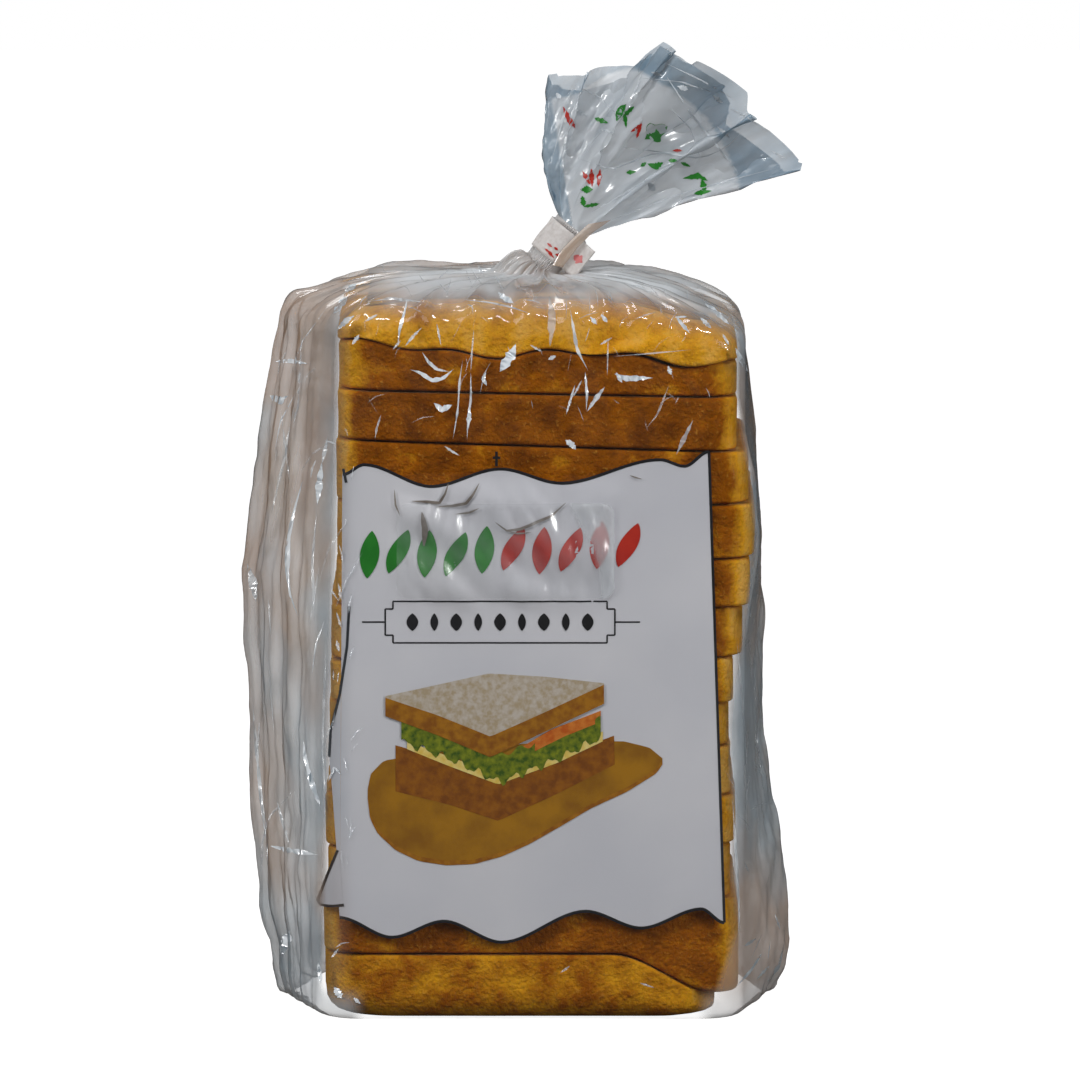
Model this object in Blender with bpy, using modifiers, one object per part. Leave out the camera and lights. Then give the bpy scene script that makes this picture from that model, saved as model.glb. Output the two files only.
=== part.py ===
"""Sliced loaf in a tied bread bag, standing on its bottom end.

The sealed bag is one closed solid out to its film: a body drawn tight round the
loaf with a loose fold of film along each side, shoulders gathered in pleats to a
leaning neck, and the ruffled tail that fans out above it. A paper tape is wrapped
round the neck with its ends stuck together as a flag, and a clear label lies on
the front.

Metres, +Z up. The front faces -Y, and the origin is the middle of the flat base.
"""

import math

import bpy
import numpy as np
from mathutils import Matrix

# The loaf inside, which gives the bag its flat faces.
LOAF_WIDTH = 0.107
LOAF_DEPTH = 0.100
LOAF_CORNER = 0.012
FILM_GAP = 0.001

# The loose film along the two sides: how far its fold reaches from the middle at
# each height, and the radius of the fold.
FILM_HEIGHTS = (0.006, 0.020, 0.036, 0.068, 0.112, 0.149, 0.172)
LEFT_REACH = (0.0655, 0.0700, 0.0730, 0.0745, 0.0765, 0.0712, 0.0680)
RIGHT_REACH = (0.0610, 0.0665, 0.0655, 0.0600, 0.0595, 0.0572, 0.0548)
FOLD_RADIUS = 0.012
CREASE_DEPTH = 0.0012
CREASES = 5

BASE_INSET = 0.005
BASE_ROUND = 0.006

# Shoulders: from the straight body in to the neck, in pleats. The film lies close
# over the loaf's top end and rises in a small cone at the neck's foot.
SHOULDER_HEIGHT = FILM_HEIGHTS[-1]
TOP_HEIGHT = 0.1878
SHOULDER_ROUND = 2.6
CONE_SHARE = 0.12
PLEATS = 8
PLEAT_DEPTH = 0.0012

# Neck: leans to the right, round, and straight where the tape goes round it.
NECK_FOOT = (0.0015, 0.0, 0.1915)
NECK_LEAN = math.radians(38)
NECK_LENGTH = 0.0135
NECK_RADIUS = 0.0049

# Tail: ribs run from the neck's top to corners given as an angle above the
# horizontal and a length. Half-way the ribs spread wider than at their ends.
TAIL_CORNERS = (
    (99, 0.0398),
    (86, 0.0399),
    (69, 0.0446),
    (64, 0.0538),
    (56, 0.0536),
    (37, 0.0573),
    (33, 0.0543),
    (16, 0.0628),
    (13, 0.0610),
)
TAIL_MIDDLE_ANGLES = (124, 3)
TAIL_MIDDLE_REACH = 0.45
TAIL_THICKNESS = 0.0045
RUFFLE_DEPTH = 0.0085
RUFFLES = 2.6

# The tape and the label, each clear of the film.
CLEARANCE = 0.0003
TAPE_WIDTH = 0.0090
TAPE_THICKNESS = 0.0005
TAPE_FLAG = 0.0042
TAPE_RISE = 0.0077
TAPE_TURN = math.radians(-40)
LABEL_SIZE = (0.056, 0.025)
LABEL_MIDDLE = (-0.0076, 0.1229)
LABEL_CORNER = 0.003
LABEL_THICKNESS = 0.0004

# Points round each ring (even, so that left and right tips are points of it) and
# rings up each stretch.
RING_POINTS = 64
BASE_RINGS = 5
BODY_RINGS = 15
SHOULDER_RINGS = 11
NECK_RINGS = 3
TAIL_RINGS = 13


def make_material(name, colour, roughness, alpha=1.0):
    """A plain Principled finish."""
    material = bpy.data.materials.new(name)
    material.use_nodes = True
    shader = material.node_tree.nodes["Principled BSDF"]
    shader.inputs["Base Color"].default_value = (*colour, 1.0)
    shader.inputs["Roughness"].default_value = roughness
    shader.inputs["Metallic"].default_value = 0.0
    shader.inputs["Alpha"].default_value = alpha
    return material


def add_object(name, mesh, material, collection):
    """Links a mesh as the named object of one sub-part."""
    mesh.materials.clear()
    mesh.materials.append(material)
    mesh.shade_smooth()
    mesh.set_sharp_from_angle(angle=math.radians(40))
    piece = bpy.data.objects.new(name, mesh)
    collection.objects.link(piece)
    return piece


def smooth_step(value):
    """0 below 0, 1 above 1, and an even S between."""
    value = np.clip(value, 0.0, 1.0)
    return value * value * (3.0 - 2.0 * value)


def even_out(points, count):
    """The open line through points, as count + 1 points at equal spacing."""
    steps = np.linalg.norm(np.diff(points, axis=0), axis=1)
    travelled = np.concatenate([[0.0], np.cumsum(steps)])
    wanted = np.linspace(0.0, travelled[-1], count + 1)
    return np.stack([np.interp(wanted, travelled, points[:, i]) for i in (0, 1)], axis=1)


def body_section(left, right):
    """One level ring of film: the tight wrap of the loaf and of the two side folds.

    The wrap is the convex hull of a rounded rectangle and two circles. A tangent
    line facing the angle t stands off the middle by the largest of the three
    shapes' own distances, and the wrap lies, in each direction, on the nearest of
    all tangent lines. The ring starts at the left tip and runs by the front.
    """
    facing = np.radians(np.arange(0.0, 360.0, 0.5))
    half_width = LOAF_WIDTH / 2 + FILM_GAP - LOAF_CORNER
    half_depth = LOAF_DEPTH / 2 + FILM_GAP - LOAF_CORNER
    loaf = half_width * abs(np.cos(facing)) + half_depth * abs(np.sin(facing)) + LOAF_CORNER
    left_fold = -(left - FOLD_RADIUS) * np.cos(facing) + FOLD_RADIUS
    right_fold = (right - FOLD_RADIUS) * np.cos(facing) + FOLD_RADIUS
    stand_off = np.maximum(loaf, np.maximum(left_fold, right_fold))
    turn = np.cos(facing[:, None] - facing[None, :])
    reach = np.where(turn > 0.05, stand_off[None, :] / np.maximum(turn, 0.05), np.inf).min(axis=1)
    slack = smooth_step((reach * abs(np.cos(facing)) - LOAF_WIDTH / 2) / 0.012)
    reach = reach - CREASE_DEPTH * slack * (1.0 + np.cos(facing * 2 * CREASES)) / 2
    wrap = np.stack([reach * np.cos(facing), reach * np.sin(facing)], axis=1)
    half = len(facing) // 2
    front = even_out(np.concatenate([wrap[half:], wrap[:1]]), RING_POINTS // 2)
    back = even_out(wrap[: half + 1], RING_POINTS // 2)
    return np.concatenate([front[:-1], back[:-1]])


def level_ring(section, height):
    return np.column_stack([section, np.full(len(section), height)])


def base_rings():
    """The rounded bottom edge: each ring is drawn in from the first body ring."""
    full = body_section(LEFT_REACH[0], RIGHT_REACH[0])
    extent = abs(full).max(axis=0)
    rings = []
    for turn in np.linspace(0.0, math.pi / 2, BASE_RINGS, endpoint=False):
        inset = BASE_INSET * (1.0 - math.sin(turn))
        height = BASE_ROUND * (1.0 - math.cos(turn))
        rings.append(level_ring(full * (1.0 - inset / extent), height))
    return rings


def body_rings():
    """The upright body, whose side folds follow the film's own outline."""
    rings = []
    for height in np.linspace(BASE_ROUND, SHOULDER_HEIGHT, BODY_RINGS, endpoint=False):
        left = np.interp(height, FILM_HEIGHTS, LEFT_REACH)
        right = np.interp(height, FILM_HEIGHTS, RIGHT_REACH)
        rings.append(level_ring(body_section(left, right), height))
    return rings


def neck_frame(lean):
    """Directions across and along the neck when it leans by this angle."""
    across = np.array([math.cos(lean), 0.0, -math.sin(lean)])
    along = np.array([math.sin(lean), 0.0, math.cos(lean)])
    return across, along


def neck_section():
    """The neck's circle, started at its left and run by the front."""
    turn = np.arange(RING_POINTS) * 2 * math.pi / RING_POINTS
    return -NECK_RADIUS * np.column_stack([np.cos(turn), np.sin(turn)])


def shoulder_rings():
    """Body section blended into the neck's circle while the rings rise, shrink and tilt.

    A ring's share of the body's width falls from 1 to 0. Height against that share
    is a superellipse, so the shoulder is round and the top nearly level, and close
    to the neck the cone's rise and tilt come in. The pleats are a cosine round the
    ring, deepest half-way in.
    """
    body = body_section(LEFT_REACH[-1], RIGHT_REACH[-1])
    circle = neck_section()
    foot = np.array(NECK_FOOT)
    pleat = np.cos(np.arange(RING_POINTS) * 2 * math.pi * PLEATS / RING_POINTS)
    rings = []
    for q in np.linspace(0.0, 1.0, SHOULDER_RINGS, endpoint=False):
        share = math.cos(q * math.pi / 2) ** 1.5
        cone = 1.0 - smooth_step(share / CONE_SHARE)
        lift = (1.0 - share**SHOULDER_ROUND) ** (1.0 / SHOULDER_ROUND)
        section = circle + (body - circle) * share
        centre = foot * [1.0 - share, 0.0, 0.0]
        centre[2] = SHOULDER_HEIGHT + (TOP_HEIGHT - SHOULDER_HEIGHT) * lift
        centre[2] += (foot[2] - TOP_HEIGHT) * cone
        across, along = neck_frame(NECK_LEAN * cone)
        rise = PLEAT_DEPTH * 4 * share * (1.0 - share) * pleat
        ring = centre + section[:, :1] * across + section[:, 1:] * [0.0, 1.0, 0.0]
        rings.append(ring + rise[:, None] * along)
    return rings


def neck_rings():
    """The straight neck that the tape holds."""
    across, along = neck_frame(NECK_LEAN)
    circle = neck_section()
    foot = np.array(NECK_FOOT) + circle[:, :1] * across + circle[:, 1:] * [0.0, 1.0, 0.0]
    return [foot + along * rise for rise in np.linspace(0.0, NECK_LENGTH, NECK_RINGS)]


def tail_rings():
    """The fan above the neck, as a flattened ruffled tube.

    Each ring point belongs to a rib. A rib is a quadratic Bezier curve from the
    neck's top, by a middle point on a wider fan, to its place on the outline. The
    front and back ply stand apart by an oval's depth and ruffle together.
    """
    across, along = neck_frame(NECK_LEAN)
    top = np.array(NECK_FOOT) + along * NECK_LENGTH
    turn = np.arange(RING_POINTS) * 2 * math.pi / RING_POINTS
    place = (1.0 - np.cos(turn)) / 2
    angles = np.array([angle for angle, _ in TAIL_CORNERS], dtype=float)
    corner_place = (angles[0] - angles) / (angles[0] - angles[-1])
    end_angle = np.radians(np.interp(place, corner_place, angles))
    length = np.interp(place, corner_place, [reach for _, reach in TAIL_CORNERS])
    middle_angle = np.radians(np.interp(place, (0.0, 1.0), TAIL_MIDDLE_ANGLES))
    start = top + (2 * place[:, None] - 1) * NECK_RADIUS * across
    middle = top + np.column_stack([np.cos(middle_angle), place * 0, np.sin(middle_angle)]) * (
        TAIL_MIDDLE_REACH * length[:, None]
    )
    end = top + np.column_stack([np.cos(end_angle), place * 0, np.sin(end_angle)]) * length[:, None]
    rings = []
    for r in np.linspace(0.0, 1.0, TAIL_RINGS + 1)[1:]:
        rib = (1 - r) ** 2 * start + 2 * r * (1 - r) * middle + r * r * end
        apart = (NECK_RADIUS * (1 - r) ** 2 + TAIL_THICKNESS * r * (2 - r) / 2) * np.sin(turn)
        ruffle = RUFFLE_DEPTH * r * np.sin(2 * math.pi * RUFFLES * place)
        rib[:, 1] = ruffle - apart
        rings.append(rib)
    return rings


def loft(rings):
    """Closes the rings into one skin, with a flat base and the tail's end zipped shut."""
    count = RING_POINTS
    faces = [tuple(reversed(range(count)))]
    for lower in range(0, (len(rings) - 1) * count, count):
        for i in range(count):
            j = (i + 1) % count
            faces.append((lower + i, lower + j, lower + count + j, lower + count + i))
    last = (len(rings) - 1) * count
    for i in range(count // 2):
        front = (last + i, last + i + 1)
        back = (last + (count - i - 1) % count, last + (count - i) % count)
        face = dict.fromkeys(front + back)
        faces.append(tuple(face))
    mesh = bpy.data.meshes.new("bag")
    mesh.from_pydata(np.concatenate(rings).tolist(), [], faces)
    mesh.validate()
    return mesh


def build_bag(collection):
    """The sealed bag out to its film."""
    rings = base_rings() + body_rings() + shoulder_rings() + neck_rings() + tail_rings()
    film = make_material("clear_film", (0.72, 0.75, 0.78), 0.18, 0.35)
    return add_object("bag", loft(rings), film, collection)


def add_spline(curve, points):
    spline = curve.splines.new("POLY")
    spline.points.add(len(points) - 1)
    for point, (x, y) in zip(spline.points, points):
        point.co = (x, y, 0.0, 1.0)
    spline.use_cyclic_u = True


def build_tape(collection):
    """A band round the neck, whose two stuck ends stand out to the right as a flag."""
    inner = NECK_RADIUS + CLEARANCE
    outer = inner + TAPE_THICKNESS
    opening = math.asin(TAPE_THICKNESS / outer)
    turns = np.linspace(opening, 2 * math.pi - opening, 41)
    outline = [(outer * math.cos(turn), outer * math.sin(turn)) for turn in turns]
    flag_end = outer + TAPE_FLAG
    outline += [(flag_end, -TAPE_THICKNESS), (flag_end, TAPE_THICKNESS)]
    turns = np.linspace(0.0, 2 * math.pi, 40, endpoint=False)
    hole = [(inner * math.cos(turn), inner * math.sin(turn)) for turn in turns]
    curve = bpy.data.curves.new("neck_tape", "CURVE")
    curve.dimensions = "2D"
    curve.fill_mode = "BOTH"
    curve.extrude = TAPE_WIDTH / 2
    add_spline(curve, outline)
    add_spline(curve, hole)
    curve.materials.append(make_material("paper_tape", (0.75, 0.68, 0.64), 0.6))
    tape = bpy.data.objects.new("neck_tape", curve)
    _, along = neck_frame(NECK_LEAN)
    tape.location = np.array(NECK_FOOT) + along * TAPE_RISE
    turned = Matrix.Rotation(NECK_LEAN, 3, "Y") @ Matrix.Rotation(TAPE_TURN, 3, "Z")
    tape.rotation_euler = turned.to_euler()
    collection.objects.link(tape)
    return tape


def build_label(collection):
    """A clear label with round corners, flat on the front of the film.

    Rows run the label's height. Each row's half-width shortens near the top and
    bottom by the corner's circle.
    """
    columns = 9
    half_width = LABEL_SIZE[0] / 2
    half_height = LABEL_SIZE[1] / 2
    bend = np.sin(np.linspace(-math.pi / 2, math.pi / 2, 13))
    heights = np.sign(bend) * (half_height - LABEL_CORNER * (1 - abs(bend)))
    heights = np.where(abs(bend) < 1e-9, 0.0, heights)
    past_corner = np.clip(abs(heights) - (half_height - LABEL_CORNER), 0.0, None)
    row_half = half_width - LABEL_CORNER + np.sqrt(LABEL_CORNER**2 - past_corner**2 + 1e-12)
    across = np.linspace(-1.0, 1.0, columns)
    x = LABEL_MIDDLE[0] + row_half[:, None] * across[None, :]
    z = LABEL_MIDDLE[1] + np.repeat(heights[:, None], columns, axis=1)
    y = np.full_like(x, -(LOAF_DEPTH / 2 + FILM_GAP + CLEARANCE))
    points = np.stack([x, y, z], axis=2).reshape(-1, 3)
    faces = []
    for row in range(len(heights) - 1):
        for column in range(columns - 1):
            first = row * columns + column
            faces.append((first, first + 1, first + columns + 1, first + columns))
    mesh = bpy.data.meshes.new("clear_label")
    mesh.from_pydata(points.tolist(), [], faces)
    clear = make_material("clear_sticker", (0.85, 0.87, 0.90), 0.12, 0.3)
    label = add_object("clear_label", mesh, clear, collection)
    solidify = label.modifiers.new("thickness", "SOLIDIFY")
    solidify.thickness = LABEL_THICKNESS
    solidify.offset = 1.0
    return label


def main():
    for old in list(bpy.data.objects):
        bpy.data.objects.remove(old, do_unlink=True)
    collection = bpy.data.collections.new("loaf_in_bread_bag")
    bpy.context.scene.collection.children.link(collection)
    build_bag(collection)
    build_tape(collection)
    build_label(collection)


main()
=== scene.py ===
# %% [markdown]
# # A sliced loaf in a clear bread bag
#
# The pack stands on its bottom end. Bread slices and two end crusts fill a bag of
# thin clear film, which is drawn tight over the front, hangs in loose folds along
# both sides, gathers in pleats to a taped neck and fans out above it. A white field
# with a picture is printed on the film. Every shape below is worked out as a
# surface on a grid with numpy, in millimetres, and goes into a mesh in metres.

# %% Load the fixed frame
import itertools
import math

import bpy
import numpy as np
from mathutils.bvhtree import BVHTree
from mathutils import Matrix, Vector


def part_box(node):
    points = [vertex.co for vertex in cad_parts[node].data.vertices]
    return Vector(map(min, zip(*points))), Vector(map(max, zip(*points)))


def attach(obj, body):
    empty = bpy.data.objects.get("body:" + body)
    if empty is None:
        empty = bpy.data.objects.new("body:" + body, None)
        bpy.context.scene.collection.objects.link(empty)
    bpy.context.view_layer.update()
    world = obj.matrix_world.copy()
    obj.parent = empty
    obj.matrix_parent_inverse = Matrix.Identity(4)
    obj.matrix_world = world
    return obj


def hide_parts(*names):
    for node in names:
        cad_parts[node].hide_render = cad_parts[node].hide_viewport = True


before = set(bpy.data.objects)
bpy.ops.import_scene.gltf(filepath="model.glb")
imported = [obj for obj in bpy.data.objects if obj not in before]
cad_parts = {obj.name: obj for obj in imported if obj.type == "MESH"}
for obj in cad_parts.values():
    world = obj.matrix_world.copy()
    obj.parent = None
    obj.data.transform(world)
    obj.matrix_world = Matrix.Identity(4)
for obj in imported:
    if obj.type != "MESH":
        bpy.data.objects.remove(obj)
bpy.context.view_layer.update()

bag_low, bag_high = (np.array([float(v) for v in corner]) * 1000 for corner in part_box("bag"))
print("bag solid, mm:", bag_low.round(1), bag_high.round(1))

# %% [markdown]
# Three small helpers carry the whole script. `smooth_step` is the S-curve that
# blends one zone into the next. `noise` is lattice noise, random values at whole
# cells blended smoothly in between. `fold_wave` is a triangle wave, because film
# bends along straight ridges with flat panels between them, not in soft hills.

# %% Numbers that vary smoothly, and numbers that fold
rng = np.random.default_rng(7)


def smooth_step(value):
    """0 below 0, 1 above 1, and 3v^2 - 2v^3 between."""
    value = np.clip(value, 0.0, 1.0)
    return value * value * (3.0 - 2.0 * value)


def lattice(cells, seed):
    """One random number in 0..1 for each whole-number cell: the fraction of a large sine."""
    wave = np.sin(cells @ np.array([127.1, 311.7, 74.7]) + seed * 19.19) * 43758.5453
    return wave - np.floor(wave)


def noise(points, size, seed):
    """Random value in -1..1 that changes over about size mm.

    The eight corners of a point's cell each give a lattice value, and the S-curve of
    the point's place in the cell weighs them.
    """
    scaled = points / size
    cell = np.floor(scaled)
    part = smooth_step(scaled - cell)
    total = np.zeros(points.shape[:-1])
    for corner in itertools.product((0, 1), repeat=3):
        share = np.prod(np.where(corner, part, 1.0 - part), axis=-1)
        total += share * lattice(cell + corner, seed)
    return total * 2.0 - 1.0


def fold_wave(phase):
    """Triangle wave of period 1 between 0 and 1, with sharp ridges and valleys."""
    return abs((phase % 1.0) * 2.0 - 1.0)


print("noise over a metre, spread:", noise(rng.random((500, 3)) * 1000, 20, 1).std().round(2))

# %% [markdown]
# A grid of points becomes a mesh of quads. Values painted on the points, such as
# how milky the film is, travel to the material as named attributes.

# %% Grids into meshes
MM = 0.001


def grid_faces(rows, columns, closed=False):
    """Quads between neighbouring rows and columns; closed joins the last column to the first."""
    index = np.arange(rows * columns).reshape(rows, columns)
    if closed:
        index = np.column_stack([index, index[:, :1]])
    corners = (index[:-1, :-1], index[:-1, 1:], index[1:, 1:], index[1:, :-1])
    return np.stack(corners, axis=-1).reshape(-1, 4)


def add_piece(name, points, faces, material, replaces=None):
    """Puts points in mm and quads into a smooth-shaded object that rides on the root body."""
    mesh = bpy.data.meshes.new(name)
    mesh.from_pydata((points.reshape(-1, 3) * MM).tolist(), [], faces.tolist())
    mesh.materials.append(material)
    mesh.shade_smooth()
    piece = bpy.data.objects.new(name, mesh)
    bpy.context.scene.collection.objects.link(piece)
    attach(piece, "root")
    if replaces:
        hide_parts(replaces)
    print(f"{name}: {len(mesh.polygons)} faces")
    return piece


def paint(piece, name, values):
    """Stores one number per point under a name that a material can read."""
    layer = piece.data.attributes.new(name, "FLOAT", "POINT")
    layer.data.foreach_set("value", np.asarray(values, dtype=np.float32).ravel())


# %% [markdown]
# Colours are written as the hex values that a paint picker shows, and one function
# turns them into the linear numbers that light adds up in. One more function adds
# a shader node with its settings and its links.

# %% Colours and nodes
def colour(hex_code):
    """Linear RGBA of an sRGB hex colour: the sRGB curve undone channel by channel."""
    channels = [int(hex_code[i : i + 2], 16) / 255 for i in (1, 3, 5)]
    linear = [v / 12.92 if v <= 0.04045 else ((v + 0.055) / 1.055) ** 2.4 for v in channels]
    return (*linear, 1.0)


def add_node(tree, kind, values=None, links=None, **settings):
    """One node: settings are its own properties, values its plain sockets, links its fed sockets."""
    node = tree.nodes.new(kind)
    for key, value in settings.items():
        setattr(node, key, value)
    for key, value in (values or {}).items():
        node.inputs[key].default_value = value
    for key, source in (links or {}).items():
        tree.links.new(source, node.inputs[key])
    return node


def new_material(name):
    """An empty node material and its output."""
    material = bpy.data.materials.new(name)
    material.use_nodes = True
    material.node_tree.nodes.clear()
    output = material.node_tree.nodes.new("ShaderNodeOutputMaterial")
    return material, material.node_tree, output


def ramp(tree, source, stops):
    """A colour ramp over source, with stops as (place, hex or grey number)."""
    node = add_node(tree, "ShaderNodeValToRGB", links={"Fac": source})
    elements = node.color_ramp.elements
    while len(elements) < len(stops):
        elements.new(0.5)
    for element, (place, tone) in zip(elements, stops):
        element.position = place
        element.color = colour(tone) if isinstance(tone, str) else (tone, tone, tone, 1.0)
    return node.outputs["Color"]


# %% [markdown]
# ## Bread
#
# Crust is the dried, browned skin of a pan loaf: matt, mottled over some millimetres and flecked with paler
# flour. Its flat front and back are dark brown and its rounded corners golden. This is partly the crust's own
# bake where the flat side met the tin, and partly painted shade on the flat faces and painted light on the
# corners. Two attributes steer it: one from golden to brown, which carries that painted shade too, and
# `crumb`, from crust to the cream inside that a cut shows.

# %% Material: baked crust and crumb
def bread_material():
    material, tree, output = new_material("baked_crust_and_crumb")
    place = add_node(tree, "ShaderNodeTexCoord").outputs["Object"]
    bake_and_shade = add_node(tree, "ShaderNodeAttribute", attribute_name="bake_and_shade").outputs["Fac"]
    crumb = add_node(tree, "ShaderNodeAttribute", attribute_name="crumb").outputs["Fac"]
    # Mottling about 8 mm across, flecks about 1 mm, pores about 1.5 mm.
    mottle = add_node(
        tree, "ShaderNodeTexNoise", {"Scale": 120.0, "Detail": 7.0, "Roughness": 0.62}, {"Vector": place}
    )
    fleck = add_node(tree, "ShaderNodeTexNoise", {"Scale": 950.0, "Detail": 4.0}, {"Vector": place})
    pore = add_node(tree, "ShaderNodeTexVoronoi", {"Scale": 650.0}, {"Vector": place})
    uneven = add_node(
        tree, "ShaderNodeMath", {1: 1.3, 2: -0.65}, {0: mottle.outputs["Fac"]}, operation="MULTIPLY_ADD"
    )
    baked_and_shaded = add_node(tree, "ShaderNodeMath", links={0: bake_and_shade, 1: uneven.outputs[0]}, operation="ADD")
    skin = ramp(
        tree, baked_and_shaded.outputs[0], [(0.0, "#F6BE58"), (0.30, "#F0AC1C"), (0.68, "#A45C00"), (1.0, "#743C00")]
    )
    flour = ramp(tree, fleck.outputs["Fac"], [(0.60, 0.0), (0.74, 0.4)])
    dusted = add_node(
        tree, "ShaderNodeMix", {7: colour("#E0A040")}, {0: flour, 6: skin}, data_type="RGBA"
    )
    inside = ramp(tree, pore.outputs["Distance"], [(0.0, "#CDB48A"), (0.5, "#EBDDBC")])
    surface = add_node(
        tree, "ShaderNodeMix", links={0: crumb, 6: dusted.outputs[2], 7: inside}, data_type="RGBA"
    )
    grain = add_node(
        tree, "ShaderNodeBump", {"Strength": 0.9, "Distance": 0.0009}, {"Height": fleck.outputs["Fac"]}
    )
    dents = add_node(
        tree,
        "ShaderNodeBump",
        {"Strength": 0.8, "Distance": 0.0024},
        {"Height": mottle.outputs["Fac"], "Normal": grain.outputs["Normal"]},
    )
    shader = add_node(
        tree,
        "ShaderNodeBsdfPrincipled",
        {"Roughness": 0.7, "Specular IOR Level": 0.06, "Subsurface Weight": 0.08, "Subsurface Scale": 0.002},
        {"Base Color": surface.outputs[2], "Normal": dents.outputs["Normal"]},
    )
    tree.links.new(shader.outputs[0], output.inputs["Surface"])
    return material


crust_and_crumb = bread_material()

# %% [markdown]
# A slice is the tin's rounded square, cut about 12 mm thick. Its outline runs once
# round, and a short profile carries it from the middle of the lower cut, over the
# softened edge, up the crust and back to the middle of the upper cut. The slices
# don't line up: each sits a little to one side, and the cuts aren't quite level.

# %% Bread slices
LOAF_DEPTH = 100.0
TIN_CORNER = 10.0
CUT_GAP = 0.5
# Height of each cut at the loaf's middle, and how far it falls towards the right
# over the loaf's width. The last is the top of the upper end crust.
CUTS = (0.0, 17.0, 31.5, 45.0, 58.3, 70.7, 82.4, 93.8, 107.6, 119.8, 134.4, 149.4, 162.8, 173.2, 186.0)
FALLS = (0.0, 0.0, 0.8, -0.6, 0.5, -0.4, 0.6, -0.8, 0.5, -0.5, 0.6, 3.2, 1.9, 4.4, 0.0)
RIGHT_EDGES = (47.0, 52.6, 50.6, 51.9, 50.6, 50.2, 51.4, 53.7, 55.5, 56.9, 55.3, 52.3, 52.0, 52.2)
SLICE_MIDDLES = (np.array(CUTS[:-1]) + np.array(CUTS[1:])) / 2
BACKS = (0.8, 1.8, 0.5, 1.1, 0.4, 1.0, 0.2, 0.9, 0.5, 0.3, 0.8, 0.6, 1.4, 2.2)
OUTLINE_POINTS = 260


def left_edge(height):
    """The loaf narrows on the left from its foot to its top."""
    return -55.0 + 5.0 * height / CUTS[-1]


def even_out(points, count):
    """The open line through points, as count + 1 points at equal spacing."""
    steps = np.linalg.norm(np.diff(points, axis=0), axis=1)
    travelled = np.concatenate([[0.0], np.cumsum(steps)])
    wanted = np.linspace(0.0, travelled[-1], count + 1)
    return np.stack([np.interp(wanted, travelled, axis) for axis in points.T], axis=1)


def tin_outline(left, right, front, back, radius):
    """Rounded rectangle, evenly spaced: four quarter circles joined by straight sides."""
    turn = np.linspace(0.0, math.pi / 2, 16)
    arcs = []
    for x, y, start in (
        (right - radius, back - radius, 0.0),
        (left + radius, back - radius, 0.5),
        (left + radius, front + radius, 1.0),
        (right - radius, front + radius, 1.5),
    ):
        angle = turn + start * math.pi
        arcs.append(np.column_stack([x + radius * np.cos(angle), y + radius * np.sin(angle)]))
    closed = np.concatenate(arcs + [arcs[0][:1]])
    return even_out(closed, OUTLINE_POINTS)[:-1]


def cut_height(number, x):
    """Height of a cut across the loaf. The lowest cut drops away at the right."""
    height = CUTS[number] - FALLS[number] * (x + 2.0) / 100.0
    if number == 1:
        height = height - 10.5 * smooth_step((x - 20.0) / 28.0)
    if number == 14:
        height = height - 6.5 * smooth_step((x - 12.0) / 42.0) - 2.5 * smooth_step((-x - 28.0) / 22.0)
    if number == 13:
        height = height + 1.1 * np.sin(x / 9.0) + 0.8 * np.sin(x / 3.7 + 1.0)
    return height


def end_crust_relief(x, height):
    """How far the upper end crust's rim stands out: two rolled lips, each a soft ridge
    that drops off sharply below its own sloping line."""
    right_lip = 173.0 + 8.0 * smooth_step((x - 2.0) / 45.0)
    left_lip = 176.5 + 7.0 * smooth_step((x + 50.0) / 18.0)
    lower = smooth_step((right_lip - height) / 1.6) * smooth_step((x + 2.0) / 12.0)
    upper = smooth_step((left_lip - height) / 2.0) * smooth_step((-22.0 - x) / 16.0)
    return 2.4 * lower + 1.9 * upper


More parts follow.
